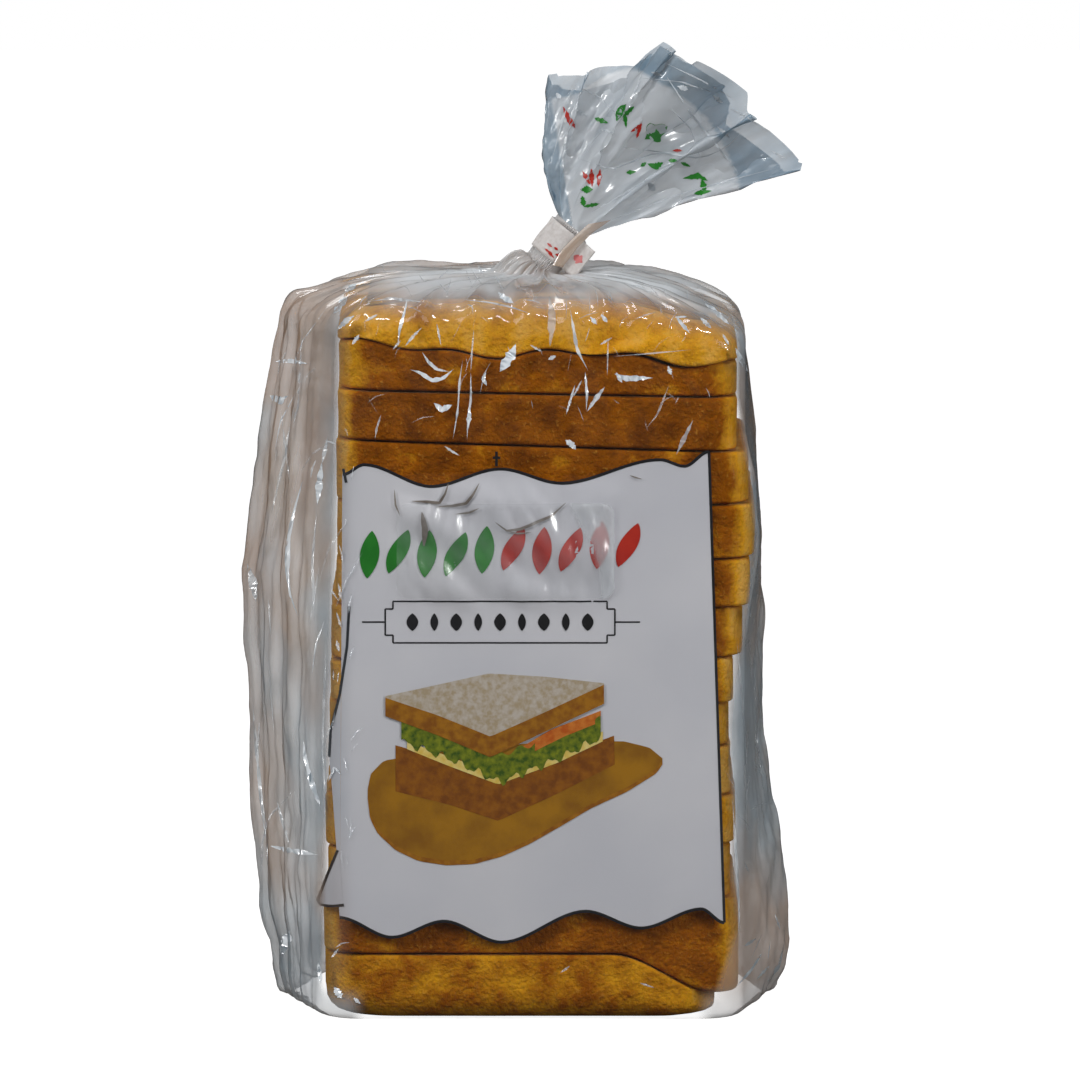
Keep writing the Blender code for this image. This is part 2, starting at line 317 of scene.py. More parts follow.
def slice_of_bread(number):
    """Points and attributes of one slice.

    Rows run lower middle, lower cut, softened edge, crust, softened edge, upper cut,
    upper middle. A row is the outline shrunk towards the slice's middle by its share,
    at its share of the height between the two cuts.
    """
    top_end = number == len(CUTS) - 2
    bottom_end = number == 0
    middle = (CUTS[number] + CUTS[number + 1]) / 2
    left = left_edge(middle) + rng.uniform(-0.7, 0.7)
    right = RIGHT_EDGES[number]
    shift = BACKS[number]
    radius = TIN_CORNER + rng.uniform(-1.0, 1.5) + (3.0 if bottom_end else 0.0)
    outline = tin_outline(left, right, -LOAF_DEPTH / 2 + shift, LOAF_DEPTH / 2 - 1.0 + shift, radius)
    centre = outline.mean(axis=0)
    thickness = CUTS[number + 1] - CUTS[number]
    soft_low = (7.0 if bottom_end else 1.0) / thickness
    soft_high = (8.0 if top_end else 1.0) / thickness
    turn = np.linspace(0.0, math.pi / 2, 6)
    wall = np.linspace(soft_low, 1.0 - soft_high, 9)[1:-1]
    inset = np.concatenate(
        [
            [49.9, 38.0, 26.0, 14.0, 7.0],
            soft_low * thickness * (1.0 - np.sin(turn)),
            np.zeros(len(wall)),
            soft_high * thickness * (1.0 - np.cos(turn)),
            [7.0, 14.0, 26.0, 38.0, 49.9],
        ]
    )
    lift = np.concatenate(
        [
            np.zeros(5),
            soft_low * (1.0 - np.cos(turn)),
            wall,
            1.0 - soft_high + soft_high * np.sin(turn),
            np.ones(5),
        ]
    )
    reach = np.linalg.norm(outline - centre, axis=1)
    share = 1.0 - inset[:, None] / 50.0
    plan = centre + (outline - centre) * share[..., None]
    x = plan[..., 0]
    low = cut_height(number, x) + (0.0 if bottom_end else CUT_GAP / 2)
    high = cut_height(number + 1, x) - (0.0 if top_end else CUT_GAP / 2)
    z = low + (high - low) * lift[:, None]
    points = np.dstack([plan, z])
    outward = (outline - centre) / reach[:, None]
    facing = abs(outline[:, 1] - centre[1]) / 50.0
    flat = smooth_step((facing - 0.90) / 0.09)
    dent = noise(points, 14.0, number) * 0.35 + noise(points, 4.0, number + 40) * 0.12
    if top_end:
        dent = dent + end_crust_relief(x, z) * flat * (plan[..., 1] < -20) + 0.3 * noise(points, 7.0, 9)
        on_top = smooth_step((lift[:, None] - 0.6) / 0.4)
        dome = 1.2 * np.clip(1.0 - (x / 52.0) ** 2, 0.0, 1.0)
        points[..., 2] += (dome + 0.5 * noise(points, 12.0, 3)) * on_top
    if bottom_end:
        dent = dent - 0.3 + 0.4 * noise(points, 9.0, 5)
    on_crust = (share > 0.9) * 1.0
    points[..., :2] += outward * (dent * on_crust)[..., None]
    # Painted shade and light: the flat front and back get a darker brown and the sides and rounded corners
    # golden. This is partly the crust's own colour, and each slice also gets a random tone.
    tone = 0.10 + 0.66 * flat + rng.uniform(-0.07, 0.07)
    if top_end:
        tone = 0.17 + 0.12 * flat
    if bottom_end:
        tone = 0.32 + 0.22 * flat
    bake_and_shade = tone + np.zeros_like(z)
    cut_face = (share < 0.975) * np.ones_like(z)
    if top_end:
        cut_face = cut_face * (lift[:, None] < 0.5)
    if bottom_end:
        cut_face = cut_face * (lift[:, None] > 0.5)
    return points, bake_and_shade, cut_face


def close_ends(points, faces):
    """Adds the one middle quad strip that shuts each end ring: opposite points pair up."""
    rows, columns = points.shape[:2]
    half = columns // 2
    index = np.arange(half)
    ends = []
    for base, flip in ((0, True), ((rows - 1) * columns, False)):
        nearer = base + index[:-1]
        across = base + columns - 1 - index[:-1]
        quads = np.stack([nearer, nearer + 1, across - 1, across], axis=-1)
        ends.append(quads[:, ::-1] if flip else quads)
    return np.concatenate([faces] + ends)


for number in range(len(CUTS) - 1):
    points, bake_and_shade, cut_face = slice_of_bread(number)
    faces = close_ends(points, grid_faces(*points.shape[:2], closed=True))
    name = {0: "bottom_crust", len(CUTS) - 2: "top_crust"}.get(number, f"slice_{number:02d}")
    bread = add_piece(name, points, faces, crust_and_crumb, replaces="bag")
    paint(bread, "bake_and_shade", bake_and_shade)
    paint(bread, "crumb", cut_face)

# %% [markdown]
# ## Film
#
# The bag is cast polypropylene film some 30 thousandths of a millimetre thick.
# Pulled tight it is the convex wrap of what is inside, so each level ring below is
# the hull of the loaf's four round corners and of the two loose side folds. Heights
# and reaches follow the solid's own outline.

# %% The film's smooth shape
FILM_HEIGHTS = (0.0, 3.0, 7.0, 14.0, 23.0, 36.0, 68.0, 112.0, 149.0, 177.0)
LEFT_REACH = (62.0, 67.0, 68.5, 69.0, 71.6, 72.6, 74.0, 75.6, 70.6, 66.4)
RIGHT_REACH = (58.0, 63.0, 65.5, 67.0, 66.4, 65.0, 59.8, 59.4, 57.4, 54.8)
FOLD_RADIUS = 6.0
FILM_OFFSET = 1.2
FRONT_POINTS = 236
BACK_POINTS = 128
BODY_ROWS = 158
SHOULDER_ROWS = 54
NECK_ROWS = 12
SHOULDER_FOOT = 177.0
TOP_HEIGHT = 189.4
SHOULDER_ROUND = 3.2
NECK_FOOT = np.array([1.5, 0.0, 191.5])
NECK_LEAN = math.radians(38)
NECK_LENGTH = 13.5
NECK_RADIUS = 4.6


def wrap_section(height):
    """One level ring: the hull of round corners, by its tangent lines.

    A tangent facing the angle t stands off by the largest of centre . direction +
    radius over the circles. In each direction the hull lies on the nearest tangent.
    """
    facing = np.radians(np.arange(0.0, 360.0, 0.75))
    direction = np.column_stack([np.cos(facing), np.sin(facing)])
    corner = TIN_CORNER - 1.0
    right = max(53.0, np.interp(height, SLICE_MIDDLES, RIGHT_EDGES)) + FILM_OFFSET - corner
    left = left_edge(height) - 0.7 - FILM_OFFSET + corner
    side = LOAF_DEPTH / 2 + FILM_OFFSET - corner
    circles = [(left, -side, corner), (left, side, corner), (right, -side, corner), (right, side, corner)]
    left_tip = np.interp(height, FILM_HEIGHTS, LEFT_REACH)
    right_tip = np.interp(height, FILM_HEIGHTS, RIGHT_REACH)
    circles += [(FOLD_RADIUS - left_tip, 0.0, FOLD_RADIUS), (right_tip - FOLD_RADIUS, 0.0, FOLD_RADIUS)]
    stand_off = np.max([direction @ (x, y) + radius for x, y, radius in circles], axis=0)
    turn = np.cos(facing[:, None] - facing[None, :])
    reach = np.where(turn > 0.05, stand_off / np.maximum(turn, 0.05), np.inf).min(axis=1)
    wrap = reach[:, None] * direction
    half = len(facing) // 2
    front = even_out(np.concatenate([wrap[half:], wrap[:1]]), FRONT_POINTS)
    back = even_out(wrap[: half + 1], BACK_POINTS)
    return np.concatenate([front[:-1], back[:-1]])


def neck_frame(lean):
    """Directions across and along the neck when it leans by this angle."""
    across = np.array([math.cos(lean), 0.0, -math.sin(lean)])
    along = np.array([math.sin(lean), 0.0, math.cos(lean)])
    return across, along


def neck_circle(radius):
    """The neck's ring, from its left by the front, spaced as the body's rings are."""
    front = np.linspace(0.0, math.pi, FRONT_POINTS + 1)[:-1]
    back = np.linspace(math.pi, 2 * math.pi, BACK_POINTS + 1)[:-1]
    turn = np.concatenate([front, back])
    return -radius * np.column_stack([np.cos(turn), np.sin(turn)])


def film_rings():
    """Rows of the bag from its foot to the top of the neck.

    The body follows wrap_section. Over the shoulder a ring's share of the body falls
    from 1 to 0 as its height rises on a superellipse. The neck is a straight tube.
    """
    rows = []
    foot_share = np.sin(np.linspace(0.25, 1.0, 6) * math.pi / 2)
    for share in foot_share[:-1]:
        section = wrap_section(3.0)
        inset = 1.0 - 0.09 * (1.0 - share)
        rise = 0.15 + 2.6 * (1 - math.sqrt(1 - share**2))
        rows.append(np.column_stack([section * inset, np.full(len(section), rise)]))
    for height in np.linspace(3.0, SHOULDER_FOOT, BODY_ROWS, endpoint=False):
        section = wrap_section(height)
        rows.append(np.column_stack([section, np.full(len(section), height)]))
    body = wrap_section(SHOULDER_FOOT)
    circle = neck_circle(NECK_RADIUS)
    for q in np.linspace(0.0, 1.0, SHOULDER_ROWS, endpoint=False):
        share = math.cos(q * math.pi / 2) ** 1.5
        cone = float(1.0 - smooth_step(share / 0.14))
        section = circle + (body - circle) * share
        centre = NECK_FOOT * (1.0 - share, 0.0, 0.0)
        centre[2] = SHOULDER_FOOT
        centre[2] += (TOP_HEIGHT - SHOULDER_FOOT) * (1.0 - share**SHOULDER_ROUND) ** (1 / SHOULDER_ROUND)
        centre[2] += (NECK_FOOT[2] - TOP_HEIGHT) * cone
        across, _ = neck_frame(NECK_LEAN * cone)
        rows.append(centre + section[:, :1] * across + section[:, 1:] * [0.0, 1.0, 0.0])
    across, along = neck_frame(NECK_LEAN)
    for rise in np.linspace(0.0, NECK_LENGTH, NECK_ROWS):
        rows.append(NECK_FOOT + along * rise + circle[:, :1] * across + circle[:, 1:] * [0.0, 1.0, 0.0])
    return np.array(rows)


smooth_film = film_rings()
# The shoulders aren't level: the right one sags further than the left.
right_sag = 5.6 * smooth_step((smooth_film[..., 0] - 18.0) / 36.0)
left_sag = 1.5 * smooth_step((-smooth_film[..., 0] - 40.0) / 20.0)
smooth_film[..., 2] -= (right_sag + left_sag) * smooth_step((smooth_film[..., 2] - 160.0) / 17.0)
print("film rows and columns:", smooth_film.shape[:2])

# %% [markdown]
# Film that isn't pulled tight buckles. Where it is slack, at the side folds and over
# the shoulders, it breaks into flat panels between ridges. So the relief is a sum of
# triangle waves along slanting directions, bent a little by noise, and each zone has
# its own share: vertical folds at the sides, pleats that run in to the neck, a fine
# crumple round the label, and next to nothing where film lies flat on the crust.

# %% Buckles, folds and pleats
def surface_normals(points):
    """Unit normals of a closed grid: the cross product of its two running directions."""
    around = np.roll(points, -1, axis=1) - np.roll(points, 1, axis=1)
    up = np.gradient(points, axis=0)
    normal = np.cross(around, up)
    return normal / np.maximum(np.linalg.norm(normal, axis=2, keepdims=True), 1e-9)


def panels(points, sizes, seed):
    """Flat facets between straight ridges, 0..1: the mean of folded waves in random directions."""
    draw = np.random.default_rng(seed)
    bend = np.stack([noise(points, 30.0, seed + i) for i in range(3)], axis=-1) * 5.0
    total = np.zeros(points.shape[:-1])
    for size in sizes:
        direction = draw.normal(size=3)
        direction /= np.linalg.norm(direction)
        total += fold_wave((points + bend) @ direction / size + draw.random())
    return total / len(sizes)


x, y, z = np.moveaxis(smooth_film, 2, 0)
row_count, column_count = x.shape
shoulder_start = row_count - SHOULDER_ROWS - NECK_ROWS
over_shoulder = np.clip((np.arange(row_count) - shoulder_start) / SHOULDER_ROWS, 0.0, 1.0)[:, None]
beside_left = smooth_step((-x - 54.0) / 9.0) * (over_shoulder < 1)
beside_right = smooth_step((x - 54.5) / 6.0) * (over_shoulder < 1)
slack_top = smooth_step(over_shoulder / 0.25) * (1.0 - smooth_step((over_shoulder - 0.93) / 0.07))
front_face = smooth_step((-y - 44.0) / 5.0) * (over_shoulder < 0.2)
upper_front = front_face * smooth_step((z - 138.0) / 30.0)
label_zone = front_face * smooth_step(1.0 - (abs(x + 7.6) - 24.0) / 8.0)
label_zone = label_zone * smooth_step(1.0 - (abs(z - 124.0) - 10.0) / 9.0)
slack = np.clip(beside_left + beside_right + slack_top, 0.0, 1.0)

around = np.arange(column_count)[None, :] / column_count
facets = panels(smooth_film, (17.0, 23.0, 31.0, 12.0, 9.0), 11)
fine = panels(smooth_film, (5.0, 7.0, 8.5, 6.0, 4.2), 23)
sway = noise(smooth_film * (1.0, 1.0, 0.25), 22.0, 5)
side_folds = fold_wave((smooth_film[..., 1] + 5.0 * sway) / 11.0) + 0.5 * fold_wave(around * 61 + 0.7 * sway)
pleats = fold_wave(around * 23 + 0.45 * noise(smooth_film, 26.0, 8)) + 0.5 * fold_wave(
    around * 41 + 0.5 * noise(smooth_film, 18.0, 9)
)
pleat_size = 2.6 * slack_top * (1.0 - 0.55 * over_shoulder)
neck_zone = smooth_step((over_shoulder - 0.90) / 0.10)
relief = (
    0.25 * facets
    + 2.4 * (beside_left + 0.7 * beside_right) * (facets - 0.42)
    + 1.5 * beside_left * (side_folds - 0.6)
    + 0.7 * (beside_left + beside_right + 0.6 * slack_top) * (fine - 0.5)
    + pleat_size * (pleats - 0.55)
    + 1.0 * upper_front * (facets - 0.35)
    + 0.75 * upper_front * fine
    + 2.8 * label_zone * (fine - 0.2)
    + 0.45 * neck_zone * (fold_wave(around * 34) - 0.5)
)
tight = (1.0 - slack) * (1.0 - neck_zone)
near_bread = (tight > 0.5) | ((over_shoulder > 0) & (over_shoulder < 0.55))
relief = np.where(near_bread, np.maximum(relief, 0.0), relief)
film = smooth_film + surface_normals(smooth_film) * relief[..., None]
film[..., 2] = np.maximum(film[..., 2], 0.05)
print("relief, mm:", relief.min().round(2), relief.max().round(2))

# %% [markdown]
# Clear film on white shows grey: every ply mirrors and scatters a little. Bare film
# is nearly invisible where it lies wet and flat on the crust, and milky where it
# hangs free, so a `haze` attribute sets how much of a thin grey-white veil shows.
# The rest is clear with a mirror gloss on top, as cast polypropylene has.

# %% Material: clear polypropylene film
def film_material(name, cool_tone, warm_tone, roughness, edge_share=0.0):
    """Clear film with a veil. edge_share of the veil shows only where film is seen edge-on,
    because sight then runs a longer way through it."""
    material, tree, output = new_material(name)
    haze = add_node(tree, "ShaderNodeAttribute", attribute_name="haze").outputs["Fac"]
    ink = add_node(tree, "ShaderNodeAttribute", attribute_name="ink").outputs["Fac"]
    place = add_node(tree, "ShaderNodeTexCoord").outputs["Object"]
    # Clouds some 15 mm across make the veil uneven.
    cloud = add_node(tree, "ShaderNodeTexNoise", {"Scale": 65.0, "Detail": 3.0}, {"Vector": place})
    uneven = ramp(tree, cloud.outputs["Fac"], [(0.3, 0.72), (0.7, 1.0)])
    facing = add_node(tree, "ShaderNodeLayerWeight", {"Blend": 0.5}).outputs["Facing"]
    slant = add_node(tree, "ShaderNodeMath", {1: 0.5}, {0: facing}, operation="POWER")
    depth = add_node(
        tree,
        "ShaderNodeMath",
        {1: edge_share, 2: 1.0 - edge_share},
        {0: slant.outputs[0]},
        operation="MULTIPLY_ADD",
    )
    patchy = add_node(tree, "ShaderNodeMath", links={0: haze, 1: uneven}, operation="MULTIPLY")
    clouded = add_node(
        tree, "ShaderNodeMath", links={0: patchy.outputs[0], 1: depth.outputs[0]}, operation="MULTIPLY"
    )
    covered = add_node(
        tree, "ShaderNodeMath", links={0: clouded.outputs[0], 1: ink}, operation="MAXIMUM", use_clamp=True
    )
    cast = add_node(tree, "ShaderNodeTexNoise", {"Scale": 22.0, "Detail": 2.0}, {"Vector": place})
    veil_tone = ramp(tree, cast.outputs["Fac"], [(0.42, cool_tone), (0.58, warm_tone)])
    tone = add_node(
        tree, "ShaderNodeMix", {7: colour("#E2E6EA")}, {0: ink, 6: veil_tone}, data_type="RGBA"
    )
    clear = add_node(tree, "ShaderNodeBsdfTransparent")
    veil = add_node(
        tree, "ShaderNodeBsdfPrincipled", {"Roughness": 0.4}, {"Base Color": tone.outputs[2]}
    )
    body = add_node(
        tree,
        "ShaderNodeMixShader",
        links={0: covered.outputs[0], 1: clear.outputs[0], 2: veil.outputs[0]},
    )
    mirror = add_node(tree, "ShaderNodeBsdfGlossy", {"Color": (1.0, 1.0, 1.0, 1.0), "Roughness": roughness})
    # Schlick's rule for how much a ply mirrors: 4% straight on, rising with the fifth power
    # of one minus the ray's cosine. It holds alike from inside and outside.
    rise = add_node(tree, "ShaderNodeMath", {1: 5.0}, {0: facing}, operation="POWER")
    mirrored = add_node(
        tree, "ShaderNodeMath", {1: 0.80, 2: 0.04}, {0: rise.outputs[0]}, operation="MULTIPLY_ADD"
    )
    film_shader = add_node(
        tree,
        "ShaderNodeMixShader",
        links={0: mirrored.outputs[0], 1: body.outputs[0], 2: mirror.outputs[0]},
    )
    tree.links.new(film_shader.outputs[0], output.inputs["Surface"])
    return material


clear_film = film_material("clear_polypropylene_film", "#A3B5C2", "#BCA493", 0.10, 0.66)

below_shoulder = over_shoulder < 1
loaf_right = np.interp(z, SLICE_MIDDLES, RIGHT_EDGES)
past_left = smooth_step((left_edge(z) + 0.5 - x) / 2.2) * below_shoulder
past_right = smooth_step((x - loaf_right + 1.0) / 2.0) * below_shoulder
foot_band = smooth_step((10.0 - z) / 6.0) * smooth_step((abs(x + 1.0) - 42.0) / 6.0)
edge_band = smooth_step(1.0 - abs(-x - 51.0) / 5.0) * (y < 0)
haze = (
    0.93 * past_left * (0.92 + 0.08 * sway)
    + 0.90 * past_right
    + 0.95 * foot_band
    + 0.55 * slack_top * (0.6 + 0.4 * facets)
    + 0.20 * edge_band * (0.6 + 0.8 * facets)
    + 0.05 * upper_front * facets
)
bag_film = add_piece(
    "bag_film", film, grid_faces(row_count, column_count, closed=True), clear_film, "bag"
)
paint(bag_film, "haze", np.clip(haze, 0.0, 0.92))
# Over the shoulders the film is painted milky in clouds: partly the haze of its gathered plies, partly a
# painted reflection of the broad sheen on the top.
milky_clouds = np.clip(0.62 + 0.45 * noise(smooth_film, 16.0, 77), 0.2, 0.85)
milky_top_and_sheen = slack_top * smooth_step(over_shoulder / 0.5) * milky_clouds
milky_neck = 0.60 * smooth_step((over_shoulder - 0.80) / 0.2)
paint(bag_film, "ink", np.maximum(np.maximum(milky_neck, milky_top_and_sheen), 0.5 * foot_band))

# %% [markdown]
# Print and creases lie on the film, so they need to know where it is. A table of the
# front's depth over a lattice of x and z answers that: each row of the film's front
# half is read at even steps of x.

# %% Where the film's front is
TABLE_X = np.arange(-80.0, 72.0, 0.5)
body_rows = slice(5, shoulder_start + 8)
table_z = film[body_rows, : FRONT_POINTS // 2, 2].mean(axis=1)
table_y = np.array(
    [
        np.interp(TABLE_X, np.maximum.accumulate(row[:, 0]), row[:, 1])
        for row in film[body_rows, :FRONT_POINTS]
    ]
)


def front_depth(x, z):
    """The film's y at x and z on the front, read between the table's lattice points."""
    column = np.clip((x - TABLE_X[0]) / 0.5, 0, len(TABLE_X) - 1.001)
    row = np.clip(np.interp(z, table_z, np.arange(len(table_z))), 0, len(table_z) - 1.001)
    c, r = column.astype(int), row.astype(int)
    fc, fr = column - c, row - r
    upper = table_y[r + 1, c] * (1 - fc) + table_y[r + 1, c + 1] * fc
    lower = table_y[r, c] * (1 - fc) + table_y[r, c + 1] * fc
    return lower * (1 - fr) + upper * fr


print("front depth at the middle:", front_depth(np.array(0.0), np.array(90.0)).round(2))

# %% [markdown]
# ## Print
#
# The bag is printed in reverse on the inside, so the gloss and the creases of the
# film lie over the ink. Each printed field is a thin patch just inside the film,
# ruled between two edge lines: point (s, t) is the s-way point of the one line
# moved t of the way to the other. Later fields lie nearer the film.

# %% Material: printing ink
def ink_material(name, tone, second_tone, patch_mm):
    """Flexographic ink: flat colour with a faint drift between two tones."""
    material, tree, output = new_material(name)
    place = add_node(tree, "ShaderNodeTexCoord").outputs["Object"]
    drift = add_node(
        tree, "ShaderNodeTexNoise", {"Scale": 1000.0 / patch_mm, "Detail": 5.0}, {"Vector": place}
    )
    blend = ramp(tree, drift.outputs["Fac"], [(0.35, tone), (0.65, second_tone)])
    shader = add_node(
        tree, "ShaderNodeBsdfPrincipled", {"Roughness": 0.38}, {"Base Color": blend}
    )
    tree.links.new(shader.outputs[0], output.inputs["Surface"])
    return material


white_ink = ink_material("white_flexo_ink", "#DDDDE2", "#D2D3DA", 40.0)
black_ink = ink_material("black_flexo_ink", "#17171A", "#1F1F24", 20.0)
green_ink = ink_material("green_flexo_ink", "#1E7A22", "#2A8B2A", 6.0)
red_ink = ink_material("red_flexo_ink", "#B3241B", "#C4301F", 6.0)
toast_ink = ink_material("toast_top_print", "#C9C0B4", "#B3A184", 1.3)
rim_ink = ink_material("toast_edge_print", "#AE7410", "#8A5206", 2.0)
crumb_ink = ink_material("toast_side_print", "#9C5E08", "#7C4404", 2.0)
lettuce_ink = ink_material("lettuce_print", "#38560A", "#86901A", 1.6)
tomato_ink = ink_material("tomato_print", "#C25A10", "#D98430", 2.0)
cheese_ink = ink_material("cheese_print", "#E6C65A", "#F0DC8C", 2.0)
board_ink = ink_material("board_print", "#AC780C", "#8E5E08", 7.0)

# %% [markdown]
# An edge line is either straight between its knots or eased into waves. A field is
# ruled between two lines, and a stroke is a line spread to an even width.

# %% Printed fields
PRINT_STEP = 1.2
INK_DEPTH = 0.55
LAYER_STEP = 0.07


def smooth_line(knots, count):
    """A line through knots, eased level at each knot as a wave's crests are."""
    knots = np.array(knots, dtype=float)
    place = np.linspace(0.0, len(knots) - 1.0, count)
    first = np.minimum(place.astype(int), len(knots) - 2)
    part = place - first
    eased = smooth_step(part)
    x = knots[first, 0] + (knots[first + 1, 0] - knots[first, 0]) * part
    z = knots[first, 1] + (knots[first + 1, 1] - knots[first, 1]) * eased
    return np.column_stack([x, z])


def straight_line(knots, count):
    """A line through knots with straight stretches."""
    return even_out(np.array(knots, dtype=float), count - 1)


def print_field(name, first_line, second_line, material, layer):
    """A ruled patch between two lines of (x, z) points, at its layer's depth in the film."""
    span = np.linalg.norm(second_line - first_line, axis=1).max()
    steps = max(2, int(span / PRINT_STEP) + 2)
    t = np.linspace(0.0, 1.0, steps)[:, None, None]
    plan = first_line + (second_line - first_line) * t
    depth = front_depth(plan[..., 0], plan[..., 1]) + INK_DEPTH - LAYER_STEP * layer
    points = np.dstack([plan[..., 0], depth, plan[..., 1]])
    return add_piece(name, points, grid_faces(*points.shape[:2]), material, "bag")


def print_stroke(name, line, width, material, layer):
    """A printed line of even width: the line moved half the width to either side."""
    along = np.gradient(line, axis=0)
    along /= np.maximum(np.linalg.norm(along, axis=1, keepdims=True), 1e-9)
    across = np.column_stack([-along[:, 1], along[:, 0]]) * width / 2
    return print_field(name, line - across, line + across, material, layer)


# The white field: waves along its head and foot, and sides that lean a little.
PANEL_TOP = (
    (-49.5, 142.1), (-44.0, 144.8), (-26.7, 139.2), (-8.9, 143.7),
    (6.8, 140.0), (32.2, 146.1), (38.5, 144.4), (44.8, 148.2),
)
PANEL_FOOT = (
    (-50.5, 27.0), (-37.0, 21.9), (-23.6, 26.1), (-8.6, 20.6),
    (13.1, 28.7), (27.5, 24.3), (43.0, 29.3), (49.0, 25.6),
)
panel_top = smooth_line(PANEL_TOP, 90)
panel_foot = smooth_line(PANEL_FOOT, 90)
print_field("panel_white", panel_foot, panel_top, white_ink, 0)
print_stroke("panel_line_top", panel_top, 0.8, black_ink, 1)
print_stroke("panel_line_foot", panel_foot, 0.8, black_ink, 1)
print_stroke("panel_line_right", straight_line((PANEL_FOOT[-1], PANEL_TOP[-1]), 100), 0.7, black_ink, 1)

# The field's left side bulges round the loaf's corner, and its foot has a pointed flap.
WING_INNER = ((-49.6, 142.0), (-50.5, 27.5))
WING_OUTER = (
    (-49.4, 143.6), (-48.6, 140.0), (-47.8, 120.0), (-47.9, 108.0), (-48.5, 97.5), (-50.4, 85.0),
    (-52.8, 75.5), (-53.2, 68.5), (-52.4, 60.0), (-51.3, 44.5), (-50.6, 28.0),
)
print_field("panel_wing", straight_line(WING_INNER, 90), straight_line(WING_OUTER, 90), white_ink, 0)
print_stroke("panel_line_wing", straight_line(WING_OUTER[3:8], 60), 0.7, black_ink, 1)
print_stroke("panel_line_corner", straight_line(WING_OUTER[:2], 12), 0.7, black_ink, 1)
FLAP = ((-51.0, 44.5), (-53.8, 37.6), (-56.4, 30.4), (-55.6, 29.6), (-52.4, 29.8), (-49.4, 30.3))
flap_line = straight_line(FLAP, 40)
print_field("panel_flap", flap_line, straight_line(((-50.6, 44.0), (-49.6, 30.3)), 40), white_ink, 1)
print_stroke("panel_line_flap", flap_line, 0.7, black_ink, 2)

# %% [markdown]
# Where the real pack has words, this one has a plain ornament: a row of slanting
# grains, five green and five red, over a frame with notched corners that holds a row
# of small lozenges. A grain is the region between two arcs that meet at its tips.

# %% Grain ornament and frame
GRAIN_HEIGHT = 12.5
GRAIN_WIDTH = 5.0
GRAIN_PITCH = 7.4
GRAIN_ROW = (-42.6, 121.5)


def grain(name, centre, height, width, lean, material):
    """A pointed oval: half-width sin(pi s)^0.8 at s of its height, leaning to the right."""
    s = np.linspace(0.0, 1.0, 17)
    half = width / 2 * np.sin(math.pi * s) ** 0.8
    x = centre[0] + (s - 0.5) * height * math.sin(lean)
    z = centre[1] + (s - 0.5) * height * math.cos(lean)
    print_field(name, np.column_stack([x - half, z]), np.column_stack([x + half, z]), material, 2)


for i in range(10):
    tone = green_ink if i < 5 else red_ink
    middle = (GRAIN_ROW[0] + i * GRAIN_PITCH, GRAIN_ROW[1] + 0.25 * i + 0.6 * math.sin(i * 1.7))
    grain(f"print_grain_{i}", middle, GRAIN_HEIGHT, GRAIN_WIDTH, math.radians(24 if i % 2 else 6), tone)

FRAME_LEFT, FRAME_RIGHT, FRAME_LOW, FRAME_HIGH, NOTCH = -38.6, 20.6, 98.6, 109.4, 2.0
for k, (x0, z0, x1, z1) in enumerate(
    (
        (FRAME_LEFT + NOTCH, FRAME_HIGH, FRAME_RIGHT - NOTCH, FRAME_HIGH),
        (FRAME_LEFT + NOTCH, FRAME_LOW, FRAME_RIGHT - NOTCH, FRAME_LOW),
        (FRAME_LEFT, FRAME_LOW + NOTCH, FRAME_LEFT, FRAME_HIGH - NOTCH),
        (FRAME_RIGHT, FRAME_LOW + NOTCH, FRAME_RIGHT, FRAME_HIGH - NOTCH),
        (FRAME_LEFT, FRAME_HIGH - NOTCH, FRAME_LEFT + NOTCH, FRAME_HIGH - NOTCH),
        (FRAME_LEFT + NOTCH, FRAME_HIGH - NOTCH, FRAME_LEFT + NOTCH, FRAME_HIGH),
        (FRAME_RIGHT, FRAME_HIGH - NOTCH, FRAME_RIGHT - NOTCH, FRAME_HIGH - NOTCH),
        (FRAME_RIGHT - NOTCH, FRAME_HIGH - NOTCH, FRAME_RIGHT - NOTCH, FRAME_HIGH),
        (FRAME_LEFT, FRAME_LOW + NOTCH, FRAME_LEFT + NOTCH, FRAME_LOW + NOTCH),
        (FRAME_LEFT + NOTCH, FRAME_LOW + NOTCH, FRAME_LEFT + NOTCH, FRAME_LOW),
        (FRAME_RIGHT, FRAME_LOW + NOTCH, FRAME_RIGHT - NOTCH, FRAME_LOW + NOTCH),
        (FRAME_RIGHT - NOTCH, FRAME_LOW + NOTCH, FRAME_RIGHT - NOTCH, FRAME_LOW),
        (FRAME_LEFT - 6.0, (FRAME_LOW + FRAME_HIGH) / 2, FRAME_LEFT, (FRAME_LOW + FRAME_HIGH) / 2),
        (FRAME_RIGHT, (FRAME_LOW + FRAME_HIGH) / 2, FRAME_RIGHT + 6.5, (FRAME_LOW + FRAME_HIGH) / 2),
    )
):
    length = math.hypot(x1 - x0, z1 - z0)
    line = straight_line(((x0, z0), (x1, z1)), int(length) + 3)
    print_stroke(f"frame_line_{k:02d}", line, 0.42, black_ink, 1)
for i in range(9):
    middle = (FRAME_LEFT + 7.0 + i * 5.65, (FRAME_LOW + FRAME_HIGH) / 2)
    grain(f"print_lozenge_{i}", middle, 4.6, 2.0 if i % 2 else 3.0, 0.0, black_ink)
print_stroke("register_mark_upright", straight_line(((-9.9, 144.4), (-9.9, 148.2)), 6), 0.7, black_ink, 1)
print_stroke("register_mark_level", straight_line(((-10.9, 146.6), (-8.9, 146.6)), 6), 0.7, black_ink, 1)

# %% [markdown]
# The printed picture is a stacked sandwich on a board, built up from the back as a
# cut-paper collage: board, lower bread, cheese, tomato, a frilly band of lettuce and
# the upper bread with its crust edge.

